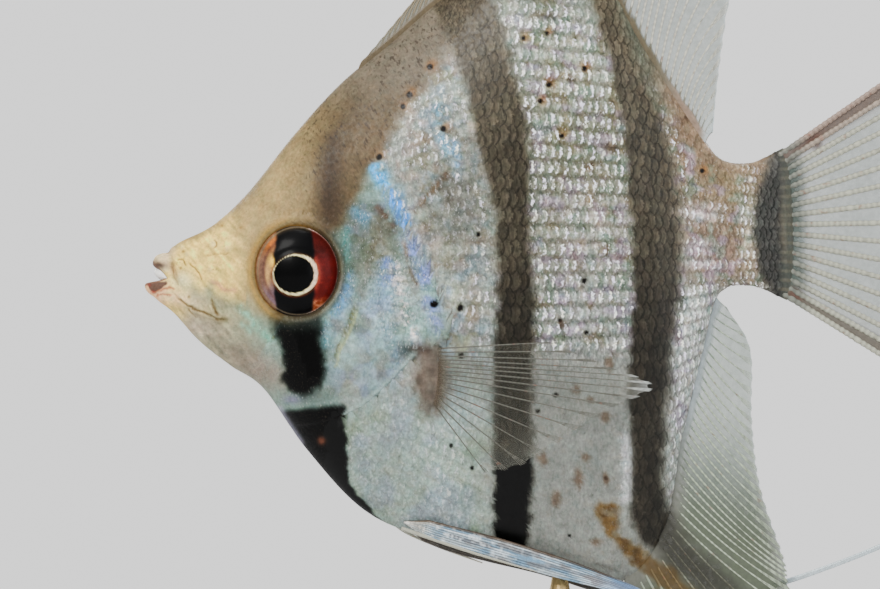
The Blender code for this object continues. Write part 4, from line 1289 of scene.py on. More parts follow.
def build_lining():
    """An egg-shaped pad as rings from its front to its back."""
    around = 40
    turn = np.linspace(0, 2 * math.pi, around, endpoint=False)
    rings = []
    for slope in np.linspace(0.08, math.pi - 0.08, 28):
        reach = math.sin(slope) * (1 + 0.03 * np.cos(7 * turn))
        x = np.full(around, LINING_X - LINING_RADII[0] * math.cos(slope))
        y, z = LINING_RADII[1] * reach * np.sin(turn), LINING_RADII[2] * reach * np.cos(turn)
        rings.append(np.stack([x, y, z], 1))
    grid = np.array(rings)
    grid[..., 2] += LINING_Z - 0.28 * (grid[..., 0] - LINING_X)
    return mesh_object("mouth_lining", world(*grid.reshape(-1, 3).T), capped_tube(len(rings), around))


def lining_finish():
    made, nodes, shader = new_finish("mouth_membrane")
    blotch = ranged(nodes, noise(nodes, 0.5, 3.0), 0.35, 0.65, 0.0, 1.0)
    colour = mixed(nodes, blotch, (1.0, 0.99, 0.95, 1.0), (0.93, 0.90, 0.84, 1.0))
    bump = bumped(nodes, noise(nodes, 0.25, 3.0), 0.4, 0.05)
    feed(shader, {"Base Color": colour, "Roughness": 0.35, "Normal": bump})
    return made


lining = build_lining()
lining.data.materials.append(lining_finish())
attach(lining, "root")


# ---------------------------------------------------------------------------------------------
# The eyes: glassy balls set in their sockets. The lens fills the pupil inside a raised cream ring.
# The iris round it is black above and below, wine red behind, gold and mauve in front.

EYE_AROUND, EYE_RINGS = 192, 110
PUPIL = (17.72, -4.12, 2.38, 2.21)  # middle and half sizes
PUPIL_RIM = (17.88, -4.17, 2.68, 2.47)  # outer edge of the cream ring
EYE_BAR_MIDDLE, EYE_BAR_HALF = 17.75, 2.35


def oval(x, z, shape, corner=0.0):
    """1 on an oval's edge, pushed out at the upper rear and pressed in at the upper front."""
    dx, dz = (x - shape[0]) / shape[2], (z - shape[1]) / shape[3]
    angle = np.degrees(np.arctan2(dz, dx))
    form = 1 + corner * (hump(angle - 42, 24) - 0.8 * hump(angle - 128, 26))
    return np.hypot(dx, dz) / form


def iris(x, z):
    """Colour of the eyeball at places in the side view."""
    reach = eye_reach(x, z)
    grain, fleck = clouds(x, z, 0.30, 31) - 0.5, clouds(x, z, 0.9, 32) - 0.5
    height = z - PUPIL[1]
    pupil, rim = oval(x, z, PUPIL, 0.02), oval(x, z, PUPIL_RIM, 0.06)
    paint = plain_tone(x, (142, 120, 108))

    # In front of the pupil: mauve below, gold by the ring, orange brown above.
    front = step(0.4, -0.6, x - EYE_X + 2.0)
    paint = lay(paint, front * step(-0.5, -2.5, height), (138, 122, 128))
    paint = dabs(paint, x, z, front, (
        (14.9, -0.5, 0.8, 1.1, (190, 130, 80), 0.9, 0.4),
        (15.1, -2.6, 0.5, 0.8, (244, 214, 130), 0.95),
        (14.6, -4.2, 0.35, 1.3, (212, 184, 140), 0.9),
    ))
    crease = hump(reach - 0.80 + 0.02 * fleck, 0.035) * front
    paint = lay(paint, crease, (118, 92, 88), 0.55)

    # Behind the pupil: wine red, paler by the ring, darker above and streaked with white below.
    rear = step(-0.3, 0.3, x - EYE_X - 1.2)
    paint = coats(
        paint,
        (rear, (110, 47, 44)),
        (rear * hump(rim - 1.05, 0.14), (166, 98, 88), 0.75),
        (rear * step(1.6, 3.0, height), (90, 48, 44), 0.8),
        (rear * step(-2.3, -3.6, height), (160, 104, 72), 0.75),
        (rear * step(-2.6, -3.4, height) * step(-0.1, 0.3, grain), (196, 160, 136), 0.6),
    )

    # The outer rim, the black bar across the eye, the ring and the lens.
    paint = lay(paint, step(0.88, 0.94, reach) * front, (156, 126, 104), 0.8)
    slope = 0.12 * np.maximum(np.abs(height) - 2.4, 0)
    bar = 1 - step(-0.22, 0.22, np.abs(x - EYE_BAR_MIDDLE) - EYE_BAR_HALF + slope + 0.25 * fleck)
    paint = coats(
        paint,
        (bar, (22, 23, 26), 0.97),
        (bar * step(0.82, 0.93, reach) * (height > 0), (92, 84, 72), 0.8),
        (bar * hump(rim - 1.06, 0.06) * (height < 0), (78, 44, 32), 0.8),
    )
    # A thin ring just inside the eye's rim is painted highlight, greyish in front and pale at the rear.
    rim_tone = lay(paint, np.ones(np.shape(x)), (150, 140, 124))
    rim_tone = lay(rim_tone, rear, (226, 212, 204))
    paint = coats(
        paint,
        (hump(reach - 0.945, 0.020), rim_tone, 0.85),
        (hump(rim - 1.04, 0.04), (150, 104, 66), 0.4),
        (1 - step(0.97, 1.02, rim), (240, 232, 200)),
        ((1 - step(0.97, 1.02, rim)) * step(0.5, 2.5, x - EYE_X), (226, 204, 194), 0.8),
    )
    paint = paint * (1 + 0.25 * grain + 0.12 * fleck)[..., None]
    return lay(paint, 1 - step(0.97, 1.02, pupil), (7, 10, 12))


def build_eye(word, side):
    """A ball as rings from the middle of its outer face to the back, with the lens standing proud."""
    slope = np.linspace(0.008, math.pi - 0.05, EYE_RINGS)
    slope = slope - 0.25 * np.sin(2 * slope) * (slope < math.pi / 2)
    turn = np.linspace(0, 2 * math.pi, EYE_AROUND, endpoint=False)
    x = EYE_X + EYE_RADII[0] * np.sin(slope)[:, None] * np.cos(turn)
    z = EYE_Z + EYE_RADII[2] * np.sin(slope)[:, None] * np.sin(turn)
    pupil, rim = oval(x, z, PUPIL, 0.02), oval(x, z, PUPIL_RIM, 0.06)
    outside = np.cos(slope)[:, None] > 0
    lens = 0.16 * np.maximum(1 - pupil**2, 0)
    ring = 0.07 * (1 - step(0.92, 1.10, rim)) - 0.05 * hump(rim - 1.22, 0.14)
    y = EYE_OUT + EYE_RADII[1] * np.cos(slope)[:, None] + (lens + ring) * outside
    faces = capped_tube(EYE_RINGS, EYE_AROUND)
    if side > 0:
        faces = [face[::-1] for face in faces]
    made = mesh_object("eye_ball_" + word, world(x.ravel(), side * y.ravel(), z.ravel()), faces)
    add_values(made, "tone", linear(iris(x.ravel(), z.ravel())))
    return made


def mottled_finish(name, grain, dark, pale, pits, strength, settings):
    """A material in the stored tone, darker and paler in small patches, on a finely pitted surface."""
    made, nodes, shader = new_finish(name)
    mottle = ranged(nodes, noise(nodes, grain, 3.0), 0.3, 0.7, 0.0, 1.0)
    colour = tinted(nodes, stored(nodes, "tone", "Color"), mixed(nodes, mottle, grey(dark), grey(pale)))
    bump = bumped(nodes, noise(nodes, pits, 2.0), strength, 0.03)
    feed(shader, {"Base Color": colour, "Normal": bump, **settings})
    return made


clear = {"Roughness": 0.5, "Specular IOR Level": 0.05, "Coat Weight": 0.05, "Coat Roughness": 0.18}
window = mottled_finish("eye_window", 0.14, 0.85, 1.12, 0.2, 0.2, clear)
for word, side in SIDES:
    ball = build_eye(word, side)
    ball.data.materials.append(window)
    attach(ball, "root")
    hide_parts("eye_" + word)


# ---------------------------------------------------------------------------------------------
# The dorsal fin: slim hard spines in front and a row of soft, jointed rays that split into branches,
# with a thin film of clear skin between them. Rays and film grow out of the ridge of the back.

DORSAL = (  # station on the back where a ray stands, and the ray's end
    (6.5, 26.4, 21.9), (7.15, 32.0, 28.7), (8.0, 41.0, 38.8), (8.7, 52.9, 51.4), (9.4, 68.4, 65.7),
    (10.15, 87.5, 80.0),  # tip
    (11.1, 78.9, 64.5), (11.55, 72.3, 43.0), (12.05, 69.6, 28.7), (12.6, 68.2, 19.1),
    (13.0, 67.6, 12.9),
)
DORSAL_TIP = 5
DORSAL_RAYS, DORSAL_SPINES = 60, 17
RAY_BEND = 0.07  # how far a ray bows, as a share of its length
ROOT_GAP = 0.3  # where the rays are counted from, over the ridge of the body
ROOT_DEPTH = 1.2  # how deep film and rays run into the body
LINK = 0.66  # length of one bony link of a soft ray
DORSAL_BAR = ((52.6, 30.0, 1.7), (53.4, 36.0, 2.2), (58.0, 46.0, 2.4), (66.0, 57.0, 2.0), (76.0, 68.0, 1.2))


class Fan:
    """The plane of a fin: the place a share of the way along a ray, for any spot along its base."""

    def __init__(self, rows, bend=0.0, columns=None, tip=None):
        places = np.linspace(0, len(rows) - 1, 1200)
        spread = smooth(rows, places, tip)
        if columns is None:
            self.roots, self.ends = spread[:, :2], spread[:, 2:]
        else:
            self.roots, self.ends = self.ridge(columns, spread[:, 0]), spread[:, 1:]
        walked = np.cumsum(np.linalg.norm(np.diff(self.roots, axis=0, prepend=self.roots[:1]), axis=1))
        self.walked = walked / walked[-1]
        self.tip = 0.5 if tip is None else np.interp(tip, places, self.walked)
        self.bend = bend

    def ridge(self, columns, stations):
        """Places just off the ridge of the back or the belly."""
        here = smooth(BODY, stations)[:, columns]
        run = smooth(BODY, stations + 0.02)[:, columns] - smooth(BODY, stations - 0.02)[:, columns]
        run /= np.linalg.norm(run, axis=1, keepdims=True)
        out = np.stack([-run[:, 1], run[:, 0]], 1) * (1 if columns == BACK else -1)
        return here + out * ROOT_GAP

    def bases(self, count, crowd=0.0):
        """Spots for the rays along the base, one of them at the fin's tip; the last ones may crowd."""
        front = max(round(count * self.tip), 1)
        last = np.linspace(0, 1, count - front)[1:]
        last = self.tip + (1 - self.tip) * (last * (1 - crowd) + np.sin(last * math.pi / 2) * crowd)
        return np.concatenate([np.linspace(0, self.tip, front + 1), last])

    def length(self, base):
        run = self.ends - self.roots
        return np.interp(base, self.walked, np.hypot(run[:, 0], run[:, 1]))

    def at(self, base, share):
        """x and z. base and share run from 0 to 1; share below 0 lies inside the body."""
        root = [np.interp(base, self.walked, column) for column in self.roots.T]
        end = [np.interp(base, self.walked, column) for column in self.ends.T]
        run_x, run_z = end[0] - root[0], end[1] - root[1]
        bow = self.bend * 4 * share * (1 - share)
        return root[0] + run_x * share - run_z * bow, root[1] + run_z * share + run_x * bow


def film(name, fan, bases, middle, paint, scallop=0.02, along=70, root_half=0.30):
    """The web of a fin: one thin closed sheet that dips a little between the ends of the rays."""
    between = 5
    base = np.concatenate([np.linspace(a, b, between, endpoint=False) for a, b in zip(bases, bases[1:])])
    base = np.append(base, bases[-1])
    within = (np.arange(len(base)) % between) / between
    start = -ROOT_DEPTH / fan.length(base)
    stop = 1 - scallop * np.sin(math.pi * within)
    share = start + (stop - start) * np.linspace(0, 1, along)[:, None] ** 1.15
    base = np.broadcast_to(base, share.shape)
    x, z = fan.at(base, share)
    out = share * fan.length(base)
    half = 0.04 + 0.03 * (1 - share) + (root_half - 0.06) * np.exp(-np.maximum(out, 0) / 0.8)
    tones, cover = paint(x, z, base, share, out)
    sheets = [np.stack([x, middle(x) + way * half, z], -1).reshape(-1, 3) for way in (-1, 1)]
    rows, columns = share.shape
    count = rows * columns
    i = np.arange(rows - 1)[:, None] * columns + np.arange(columns - 1)[None, :]
    near_faces = np.stack([i, i + 1, i + columns + 1, i + columns], -1).reshape(-1, 4)
    faces = near_faces.tolist() + (near_faces[:, ::-1] + count).tolist()
    rim = grid_rim(rows, columns)
    faces += [(b, a, a + count, b + count) for a, b in zip(rim, rim[1:] + rim[:1])]
    places = np.concatenate(sheets)
    made = mesh_object(name, world(*places.T), faces)
    add_values(made, "tone", linear(np.tile(tones.reshape(-1, 3), (2, 1))))
    add_values(made, "cover", np.tile(cover.ravel(), 2))
    return made


def stalk(path, wide, deep, sides):
    """A closed rod round a path, with its own half width in the fin's plane and half depth across it."""
    run = np.gradient(path, axis=0)
    run /= np.linalg.norm(run, axis=1, keepdims=True)
    level = np.hypot(run[:, 0], run[:, 2])
    up = np.stack([-run[:, 2], np.zeros(len(run)), run[:, 0]], 1) / level[:, None]
    turn = np.linspace(0, 2 * math.pi, sides, endpoint=False)
    ring = path[:, None] + up[:, None] * (wide[:, None] * np.cos(turn))[..., None]
    ring[..., 1] += deep[:, None] * np.sin(turn)
    return ring.reshape(-1, 3), capped_tube(len(path), sides)


def rays(name, fan, bases, middle, paint, spines=0, wide=0.17, link=LINK, forks=(0.55, 0.80), sides=6):
    """All rays of a fin as one piece. Spines are smooth and pointed; soft rays are jointed and fork."""
    verts, faces, tones, beads, count = [], [], [], [], 0
    for number, base in enumerate(bases):
        gap = np.sort(np.abs(bases - base))[1]
        length = float(fan.length(base))
        if number < spines:
            runs = ((0.0, 1.0, 0.0, 0.0, 1.35),)
        else:
            first, second = forks
            runs = [(0.0, first + 0.02, 0.0, 0.0, 1.0)]
            for way in (-1, 1):
                runs.append((first, second + 0.02, first, way * 0.14, 0.66))
                runs += [(second, 1.0, first, way * (0.14 + fork * 0.07), 0.46) for fork in (-1, 1)]
        for start, stop, fork, drift, thick in runs:
            start = start if start > 0 else -ROOT_DEPTH / length
            joints = max(int((stop - start) * length / (link / 2)), 4)
            share = np.linspace(start, stop, joints)
            drawn = drift * step(fork, fork + 0.45, share) if drift else 0.0 * share
            x, z = fan.at(np.clip(base + drawn * gap, 0, 1), share)
            bead = np.round(share * length / (link / 2)).astype(int) % 2
            taper, swell = 1 - 0.3 * share, 0.88 + 0.24 * bead
            if number < spines:
                taper, swell = np.clip(1.15 - 0.75 * np.maximum(share, 0), 0.2, 1), 1
            half = wide * thick * taper * swell * min(1.0, (length / 12) ** 0.35)
            half = np.maximum(half, 0.035)
            if stop == 1.0:
                half[-1] *= 0.4
            made_verts, made_faces = stalk(np.stack([x, middle(x), z], 1), half, half * 1.05 + 0.02, sides)
            verts.append(made_verts)
            faces += [[v + count for v in face] for face in made_faces]
            count += len(made_verts)
            whole = paint(x, z, np.full(len(x), base), share, share * length)
            tones.append(np.repeat(whole, sides, axis=0))
            beads.append(np.repeat(bead * (number >= spines), sides))
    made = mesh_object(name, world(*np.concatenate(verts).T), faces)
    add_values(made, "tone", linear(np.concatenate(tones)))
    add_values(made, "bead", np.concatenate(beads))
    return made


def film_finish():
    """Clear skin with a little pigment, clearer and cloudier in small patches."""
    matt = {"Roughness": 0.38, "Specular IOR Level": 0.2}
    made = mottled_finish("fin_film", 0.45, 0.90, 1.10, 0.3, 0.2, matt)
    nodes = made.node_tree.nodes
    patches = ranged(nodes, noise(nodes, 0.8, 3.0), 0.3, 0.7, 0.92, 1.06)
    feed(nodes["Principled BSDF"], {"Alpha": times(nodes, stored(nodes, "cover"), patches)})
    return made


def ray_finish():
    """Horny links with paler joints between them and a brown freckle here and there."""
    made, nodes, shader = new_finish("fin_ray")
    tone, bead = stored(nodes, "tone", "Color"), stored(nodes, "bead")
    colour = tinted(nodes, tone, mixed(nodes, bead, grey(0.80), grey(1.18)))
    stain = ranged(nodes, noise(nodes, 0.9, 2.0), 0.60, 0.72, 0.0, 0.55)
    colour = mixed(nodes, stain, colour, (0.22, 0.09, 0.06, 1.0))
    bump = bumped(nodes, noise(nodes, 0.15, 2.0), 0.3, 0.02)
    feed(shader, {"Base Color": colour, "Roughness": 0.42, "Normal": bump})
    feed(shader, {"Specular IOR Level": 0.25})
    return made


def add_fin(node, pieces, finishes):
    """Gives the pieces of a fin their finishes, attaches them to the root and hides the fin's node."""
    for piece, finish in zip(pieces, finishes):
        piece.data.materials.append(finish)
        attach(piece, "root")
        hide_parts(node)


def flat(x):
    """The fins of the back, the belly and the tail stand in the fish's middle plane."""
    return np.zeros(np.shape(x))


def dorsal_web(x, z, base, share, out):
    cloud = clouds(x, z, 2.5, 41) - 0.5
    paint = plain_tone(x, (128, 140, 132))
    cover = 0.36 + 0.10 * cloud
    hard = step(0.44, 0.30, base)
    paint = lay(paint, hard, (138, 132, 116), 0.8)
    cover = cover + 0.34 * hard * (1 - 0.5 * share)
    bar = band(x, z, DORSAL_BAR, 0.9, 0.8)
    paint = lay(paint, bar, (82, 76, 68), 0.9)
    cover = np.maximum(cover, 0.72 * bar)
    sheath = step(0.7, 0.1, out + 0.8 * cloud * step(52, 58, x))
    paint = lay(paint, sheath * step(64, 60, x), (124, 114, 98), 0.85)
    paint = lay(paint, sheath * step(60, 64, x), (168, 150, 138), 0.85)
    cover = np.maximum(cover, 0.92 * sheath)
    rear = step(0.90, 0.99, share) * step(0.5, 0.7, base) + step(0.97, 1.0, base)
    paint = lay(paint, rear, (206, 214, 216), 0.8)
    return np.clip(paint, 0, 255), np.clip(np.maximum(cover, 0.5 * rear), 0, 1)


def dorsal_rays(x, z, base, share, out):
    paint = plain_tone(x, (204, 202, 194))
    paint = lay(paint, step(0.44, 0.30, base), (166, 158, 142))
    paint = lay(paint, band(x, z, DORSAL_BAR, 0.9, 0.8), (96, 86, 76), 0.85)
    return lay(paint, step(1.2, 0.2, out), (164, 146, 130), 0.6)


film_skin, horn = film_finish(), ray_finish()
dorsal = Fan(DORSAL, RAY_BEND, BACK, DORSAL_TIP)
dorsal_bases = dorsal.bases(DORSAL_RAYS, 0.5)
pieces = (
    film("dorsal_film", dorsal, dorsal_bases, flat, dorsal_web, 0.025),
    rays("dorsal_rays", dorsal, dorsal_bases, flat, dorsal_rays, DORSAL_SPINES, 0.15),
)
add_fin("dorsal_fin", pieces, (film_skin, horn))


# ---------------------------------------------------------------------------------------------
# The anal fin: the dorsal fin's counterpart under the body, with five spines. Its front half is
# thick and grey, and the second bar and the orange mark run on into it; its rear half is clear.

ANAL = (  # station on the belly where a ray stands, and the ray's end
    (10.1, 57.3, -42.4), (10.4, 64.9, -48.4), (10.7, 78.0, -59.4), (10.95, 110.4, -82.0),  # tip
    (11.08, 88.1, -59.7), (11.2, 78.9, -46.6), (11.45, 76.7, -41.2), (11.8, 76.1, -38.0),
    (12.3, 73.3, -29.5), (12.85, 72.3, -21.5), (13.4, 72.1, -13.1), (13.85, 69.3, -8.1),
)
ANAL_TIP = 3
ANAL_RAYS, ANAL_SPINES = 38, 5
ANAL_BAR = (
    (60.0, -31.0, 2.2), (62.4, -36.2, 2.0), (67.4, -40.8, 1.9), (78.0, -49.5, 1.4), (90.0, -60.0, 0.8),
)
ANAL_ORANGE = ((57.6, -36.8, 0.9), (60.6, -39.2, 1.1), (64.0, -42.0, 1.2), (70.0, -47.5, 0.9))


def anal_web(x, z, base, share, out):
    cloud = clouds(x, z, 2.0, 42) - 0.5
    paint = plain_tone(x, (126, 142, 132))
    # The pale blue-white band along the root is the sheath's pale skin together with a painted highlight
    # along the body's edge.
    sheath = step(1.5, -0.2, out + 0.8 * cloud)
    paint = lay(paint, sheath, (190, 194, 198), 0.85)
    dense = step(-18.0, -36.0, z + 0.22 * (x - 64))
    paint = lay(paint, dense, (116, 120, 108), 0.9)
    paint = lay(paint, dense * step(3.0, 0.0, out), (142, 142, 136), 0.9)
    cover = 0.36 + 0.08 * cloud + 0.54 * dense * step(1.15, 0.75, share)
    bar = band(x, z, ANAL_BAR, 1.3, 0.6) * step(24, 5, out)
    paint = lay(paint, bar, (80, 79, 73), 0.85)
    orange = band(x, z, ANAL_ORANGE, 0.5, 0.8) * step(14, 6, out)
    paint = lay(paint, orange, (108, 90, 60), 0.75)
    cover = np.maximum(cover, 0.9 * np.maximum(bar, orange))
    cover = np.maximum(cover, 0.8 * sheath)
    rear = step(0.95, 1.0, share) * step(0.3, 0.5, base)
    paint = lay(paint, rear, (196, 206, 204), 0.8)
    return np.clip(paint, 0, 255), np.clip(np.maximum(cover, 0.42 * rear), 0, 1)


def anal_rays(x, z, base, share, out):
    paint = plain_tone(x, (184, 190, 178))
    paint = lay(paint, band(x, z, ANAL_BAR, 1.3, 0.6) * step(26, 6, out), (92, 90, 82), 0.85)
    return lay(paint, band(x, z, ANAL_ORANGE, 0.5, 0.8) * step(14, 6, out), (116, 96, 66), 0.7)


anal = Fan(ANAL, -RAY_BEND / 2, BELLY, ANAL_TIP)
anal_bases = anal.bases(ANAL_RAYS)
pieces = (
    film("anal_film", anal, anal_bases, flat, anal_web),
    rays("anal_rays", anal, anal_bases, flat, anal_rays, ANAL_SPINES, 0.13),
)
add_fin("anal_fin", pieces, (film_skin, horn))


# ---------------------------------------------------------------------------------------------
# The tail fin: seventeen broad, jointed rays, spread from the scaled root of the tail. The film
# between them is clear, and the edges are thick.

CAUDAL = (  # root and end of a ray
    (76.4, 10.7, 104.0, 29.8),
    (76.6, 6.5, 101.2, 17.0),
    (76.8, 1.9, 100.1, 2.4),
    (76.9, -2.6, 101.0, -11.5),
    (77.0, -7.0, 103.5, -23.6),
)
CAUDAL_RAYS = 17


def caudal_web(x, z, base, share, out):
    cloud = clouds(x, z, 2.0, 43) - 0.5
    paint = plain_tone(x, (124, 136, 130))
    cover = 0.36 + 0.08 * cloud
    sheath = step(4.0, 0.2, out + 0.9 * cloud)
    paint = lay(paint, sheath, (104, 112, 107), 0.9)
    cover = np.maximum(cover, 0.86 * sheath)
    paint = lay(paint, patch(x, z, 78.6, 0.2, 1.4, 1.2), (150, 160, 162), 0.5)
    for low, high, tone in ((0.13, 0.04, (134, 122, 116)), (0.88, 0.96, (132, 126, 119))):
        edge = step(low, high, base)
        paint = lay(paint, edge, tone, 0.9)
        cover = np.maximum(cover, 0.9 * edge)
    for spot in ((79.9, 11.6, 1.1), (77.4, -6.6, 0.9)):
        mark = hump(np.hypot(x - spot[0], z - spot[1]), spot[2])
        paint = lay(paint, mark, (108, 80, 70), 0.7)
        cover = np.maximum(cover, 0.8 * mark)
    return np.clip(paint, 0, 255), np.clip(cover, 0, 1)


def caudal_rays(x, z, base, share, out):
    paint = plain_tone(x, (184, 184, 174))
    paint = lay(paint, step(0.12, 0.03, base), (158, 142, 134), 0.8)
    return lay(paint, step(3.4, 0.6, out), (134, 136, 130), 0.85)


caudal = Fan(CAUDAL)
caudal_bases = caudal.bases(CAUDAL_RAYS)
pieces = (
    film("caudal_film", caudal, caudal_bases, flat, caudal_web, 0.015),
    rays("caudal_rays", caudal, caudal_bases, flat, caudal_rays, 0, 0.36, forks=(0.50, 0.80), sides=8),
)
add_fin("caudal_fin", pieces, (film_skin, horn))


# ---------------------------------------------------------------------------------------------
# The pectoral fins: sixteen hair-thin rays in a film as clear as glass, spread over the flank from
# the fleshy root behind the gill cover. Their tips are faintly white.

PECTORAL = (  # root and end of a ray
    (34.6, -12.9, 48.0, -12.1), (34.8, -14.0, 54.7, -14.9), (35.0, -15.2, 60.1, -17.3),
    (35.0, -16.4, 55.3, -19.9), (34.9, -17.6, 49.8, -23.4), (34.7, -18.7, 44.8, -26.6),
    (34.4, -19.6, 40.4, -27.6),
)
PECTORAL_RAYS = 16
PECTORAL_OUT, PECTORAL_FLARE = 6.9, 0.12  # distance from the middle at the root, and how fast it grows
PECTORAL_DIVE = 1.6  # how far the root bends in under the skin


def pectoral_web(x, z, base, share, out):
    paint = plain_tone(x, (170, 170, 162))
    cover = 0.03 + 0.05 * step(0.6, 1.0, share)
    tips = step(56.5, 59.5, x)
    paint = lay(paint, tips, (214, 216, 214))
    flesh = step(1.1, -0.2, out + 0.8 * (clouds(x, z, 0.7, 44) - 0.5))
    paint = lay(paint, flesh, (122, 114, 104))
    return paint, np.clip(np.maximum(cover + 0.08 * tips, 0.75 * flesh), 0, 1)


def pectoral_rays(x, z, base, share, out):
    paint = plain_tone(x, (122, 121, 115))
    paint = lay(paint, step(55.5, 58.5, x), (192, 194, 192))
    return lay(paint, step(1.4, 0.0, out), (112, 108, 98))


pectoral = Fan(PECTORAL)
pectoral_bases = pectoral.bases(PECTORAL_RAYS)
for word, side in SIDES:

    def flared(x, side=side):
        out = PECTORAL_OUT + PECTORAL_FLARE * (x - PECTORAL[0][0])
        return side * (out - PECTORAL_DIVE * step(35.9, 33.9, x))

    spread = (pectoral, pectoral_bases, flared)
    pieces = (
        film("pectoral_film_" + word, *spread, pectoral_web, 0.03, root_half=0.16),
        rays("pectoral_rays_" + word, *spread, pectoral_rays, 0, 0.085, 0.5, (0.7, 0.88)),
    )
    add_fin("pectoral_fin_" + word, pieces, (film_skin, horn))


# ---------------------------------------------------------------------------------------------
# The pelvic fins: one spine and a few rays folded into a flat blade, ice blue and white with dark
# seams, that lies back along the belly and draws out into a thread.

PELVIC = {  # places on the blade's middle line, and its width there
    "left": (
        (30.7, -33.6, 2.0), (36.2, -35.2, 2.4), (42.2, -36.9, 2.7), (49.2, -39.0, 2.5),
        (54.1, -40.5, 1.9), (58.9, -42.2, 1.2), (66.0, -45.7, 0.8), (74.4, -49.6, 0.65),
        (84.0, -52.9, 0.6), (93.5, -55.0, 0.6), (103.1, -55.5, 0.55),
    ),
    "right": (
        (30.7, -33.9, 2.0), (35.6, -35.9, 2.4), (41.0, -37.6, 2.0), (47.4, -39.4, 1.5),
        (54.1, -41.7, 1.2), (61.3, -43.6, 0.9), (68.4, -43.2, 0.7), (76.4, -41.0, 0.65),
        (82.2, -39.0, 0.6), (87.5, -36.9, 0.6), (93.5, -34.2, 0.6), (99.5, -31.2, 0.55),
    ),
}
PELVIC_OUT, PELVIC_SPREAD = 2.35, 0.016
PELVIC_HALF, THREAD_HALF = 0.35, 0.24  # half thickness of the blade and of the thread
PELVIC_AROUND, PELVIC_STEP = 96, 0.25
PELVIC_SEAMS = 9  # rays that show as ridges across the blade


def build_pelvic(word, side):
    """A closed, ribbed blade as rings round its middle line."""
    rows = np.array(PELVIC[word])
    places = np.linspace(0, len(rows) - 1, 2000)
    line = smooth(rows, places)
    walked = np.cumsum(np.hypot(*np.diff(line[:, :2], axis=0, prepend=line[:1, :2]).T))
    even = np.arange(0, walked[-1], PELVIC_STEP)
    x, z, width = (np.interp(even, walked, column) for column in line.T)
    run = np.stack([np.gradient(x), np.gradient(z)], 1)
    run /= np.linalg.norm(run, axis=1, keepdims=True)
    turn = np.linspace(0, 2 * math.pi, PELVIC_AROUND, endpoint=False)
    up = np.cos(turn)
    blade = step(30, 22, even)[:, None]
    thick = THREAD_HALF + (PELVIC_HALF - THREAD_HALF) * blade
    across = width[:, None] / 2 * up
    seam = np.cos(up * PELVIC_SEAMS * math.pi + 0.4 * np.sin(even[:, None] * 0.12))
    bulge = np.sign(np.sin(turn)) * np.abs(np.sin(turn)) ** 0.7
    thick = thick * bulge * (1 + 0.16 * blade * seam)
    end = np.minimum(1, (walked[-1] - even) / 6 + 0.12)[:, None]
    end = np.minimum(end, (0.12 + even / 3.2)[:, None])
    inward = 1.2 * step(4.0, 0.0, even)  # the root lies against the keel of the belly
    px = x[:, None] - run[:, 1:] * across * end
    pz = z[:, None] + run[:, :1] * across * end
    py = side * (PELVIC_OUT + PELVIC_SPREAD * (x - rows[0, 0]) - inward)[:, None] + thick * end
    faces = [face[::-1] for face in capped_tube(len(even), PELVIC_AROUND)]
    made = mesh_object("pelvic_blade_" + word, world(px.ravel(), py.ravel(), pz.ravel()), faces)
    long = np.broadcast_to(even[:, None], across.shape)
    wide = np.broadcast_to(across, across.shape) + (20 if side > 0 else 0)
    sparkle = clouds(long, wide, 0.5, 52)
    ice = plain_tone(across, (152, 174, 190))
    ice = coats(
        ice,
        (step(0.42, 0.62, clouds(long / 3, wide / 0.4, 1.0, 53)), (206, 212, 214), 0.85),
        (step(0.55, 0.70, clouds(long / 6, wide / 0.3, 1.0, 51)), (232, 238, 242), 0.9),
        (step(0.52, 0.68, clouds(long / 2, wide / 0.5, 1.0, 55)), (150, 144, 142), 0.6),
    )
    dark = step(-0.3, -0.95, seam * np.ones(across.shape)) * step(0.36, 0.52, clouds(long / 8, wide, 1.0, 54))
    ice = coats(
        ice,
        (dark, (70, 70, 70), 0.85),
        (step(0.62, 0.70, sparkle) * step(24, 4, long), (240, 244, 246), 0.8),
        (hump(long - 1.5, 2.2), (206, 198, 186), 0.6),
        (step(22, 30, long), (138, 164, 200), 0.65),
        (step(36, 50, long), (214, 218, 216), 0.85),
        # Painted shadow along the blade's upper edge at the front.
        (step(0.62, 0.95, np.broadcast_to(up, across.shape)) * step(30, 24, long), (92, 78, 66), 0.75),
    )
    # The far fin's front is painted darker: painted shade behind the near fin and the body.
    if side > 0:
        ice = lay(ice, step(34, 26, long), (96, 90, 84), 0.8)
    add_values(made, "tone", linear(ice.reshape(-1, 3)))
    return made


PELVIC_SPINES = {  # the hard front ray of each fin: places along it
    "left": ((30.4, -34.3), (38.0, -36.9), (44.0, -38.7), (49.6, -40.2)),
    "right": ((29.2, -33.7), (31.1, -35.1), (35.2, -36.9), (40.1, -38.7)),
}


def build_pelvic_spine(word, side):
    line = smooth(PELVIC_SPINES[word], np.linspace(0, 3, 60))
    x, z = line.T
    y = side * (PELVIC_OUT + 0.12 + PELVIC_SPREAD * (x - PELVIC[word][0][0]))
    share = np.linspace(0, 1, len(x))
    half = 0.20 * np.clip(1.1 - share, 0, 1) ** 0.6 + 0.02
    verts, faces = stalk(np.stack([x, y, z], 1), half, half * 0.9, 12)
    made = mesh_object("pelvic_spine_" + word, world(*verts.T), faces)
    paint = plain_tone(x, (202, 202, 192))
    paint = lay(paint, step(0.6, 1.0, share), (222, 220, 208))
    add_values(made, "tone", np.repeat(linear(paint), 12, axis=0))
    add_values(made, "bead", np.zeros(len(verts)))
    return made


pearly = {"Roughness": 0.32, "Metallic": 0.15, "Specular IOR Level": 0.3}
pearl = mottled_finish("pelvic_pearl", 0.2, 0.82, 1.16, 0.14, 0.35, pearly)
for word, side in SIDES:
    add_fin("pelvic_fin_" + word, (build_pelvic(word, side), build_pelvic_spine(word, side)), (pearl, horn))


# ---------------------------------------------------------------------------------------------
# The stand: an oiled walnut plate with rounded corners, and a turned brass rod whose tapered tip
# ends just under the belly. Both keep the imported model's shape and only get their finish here.

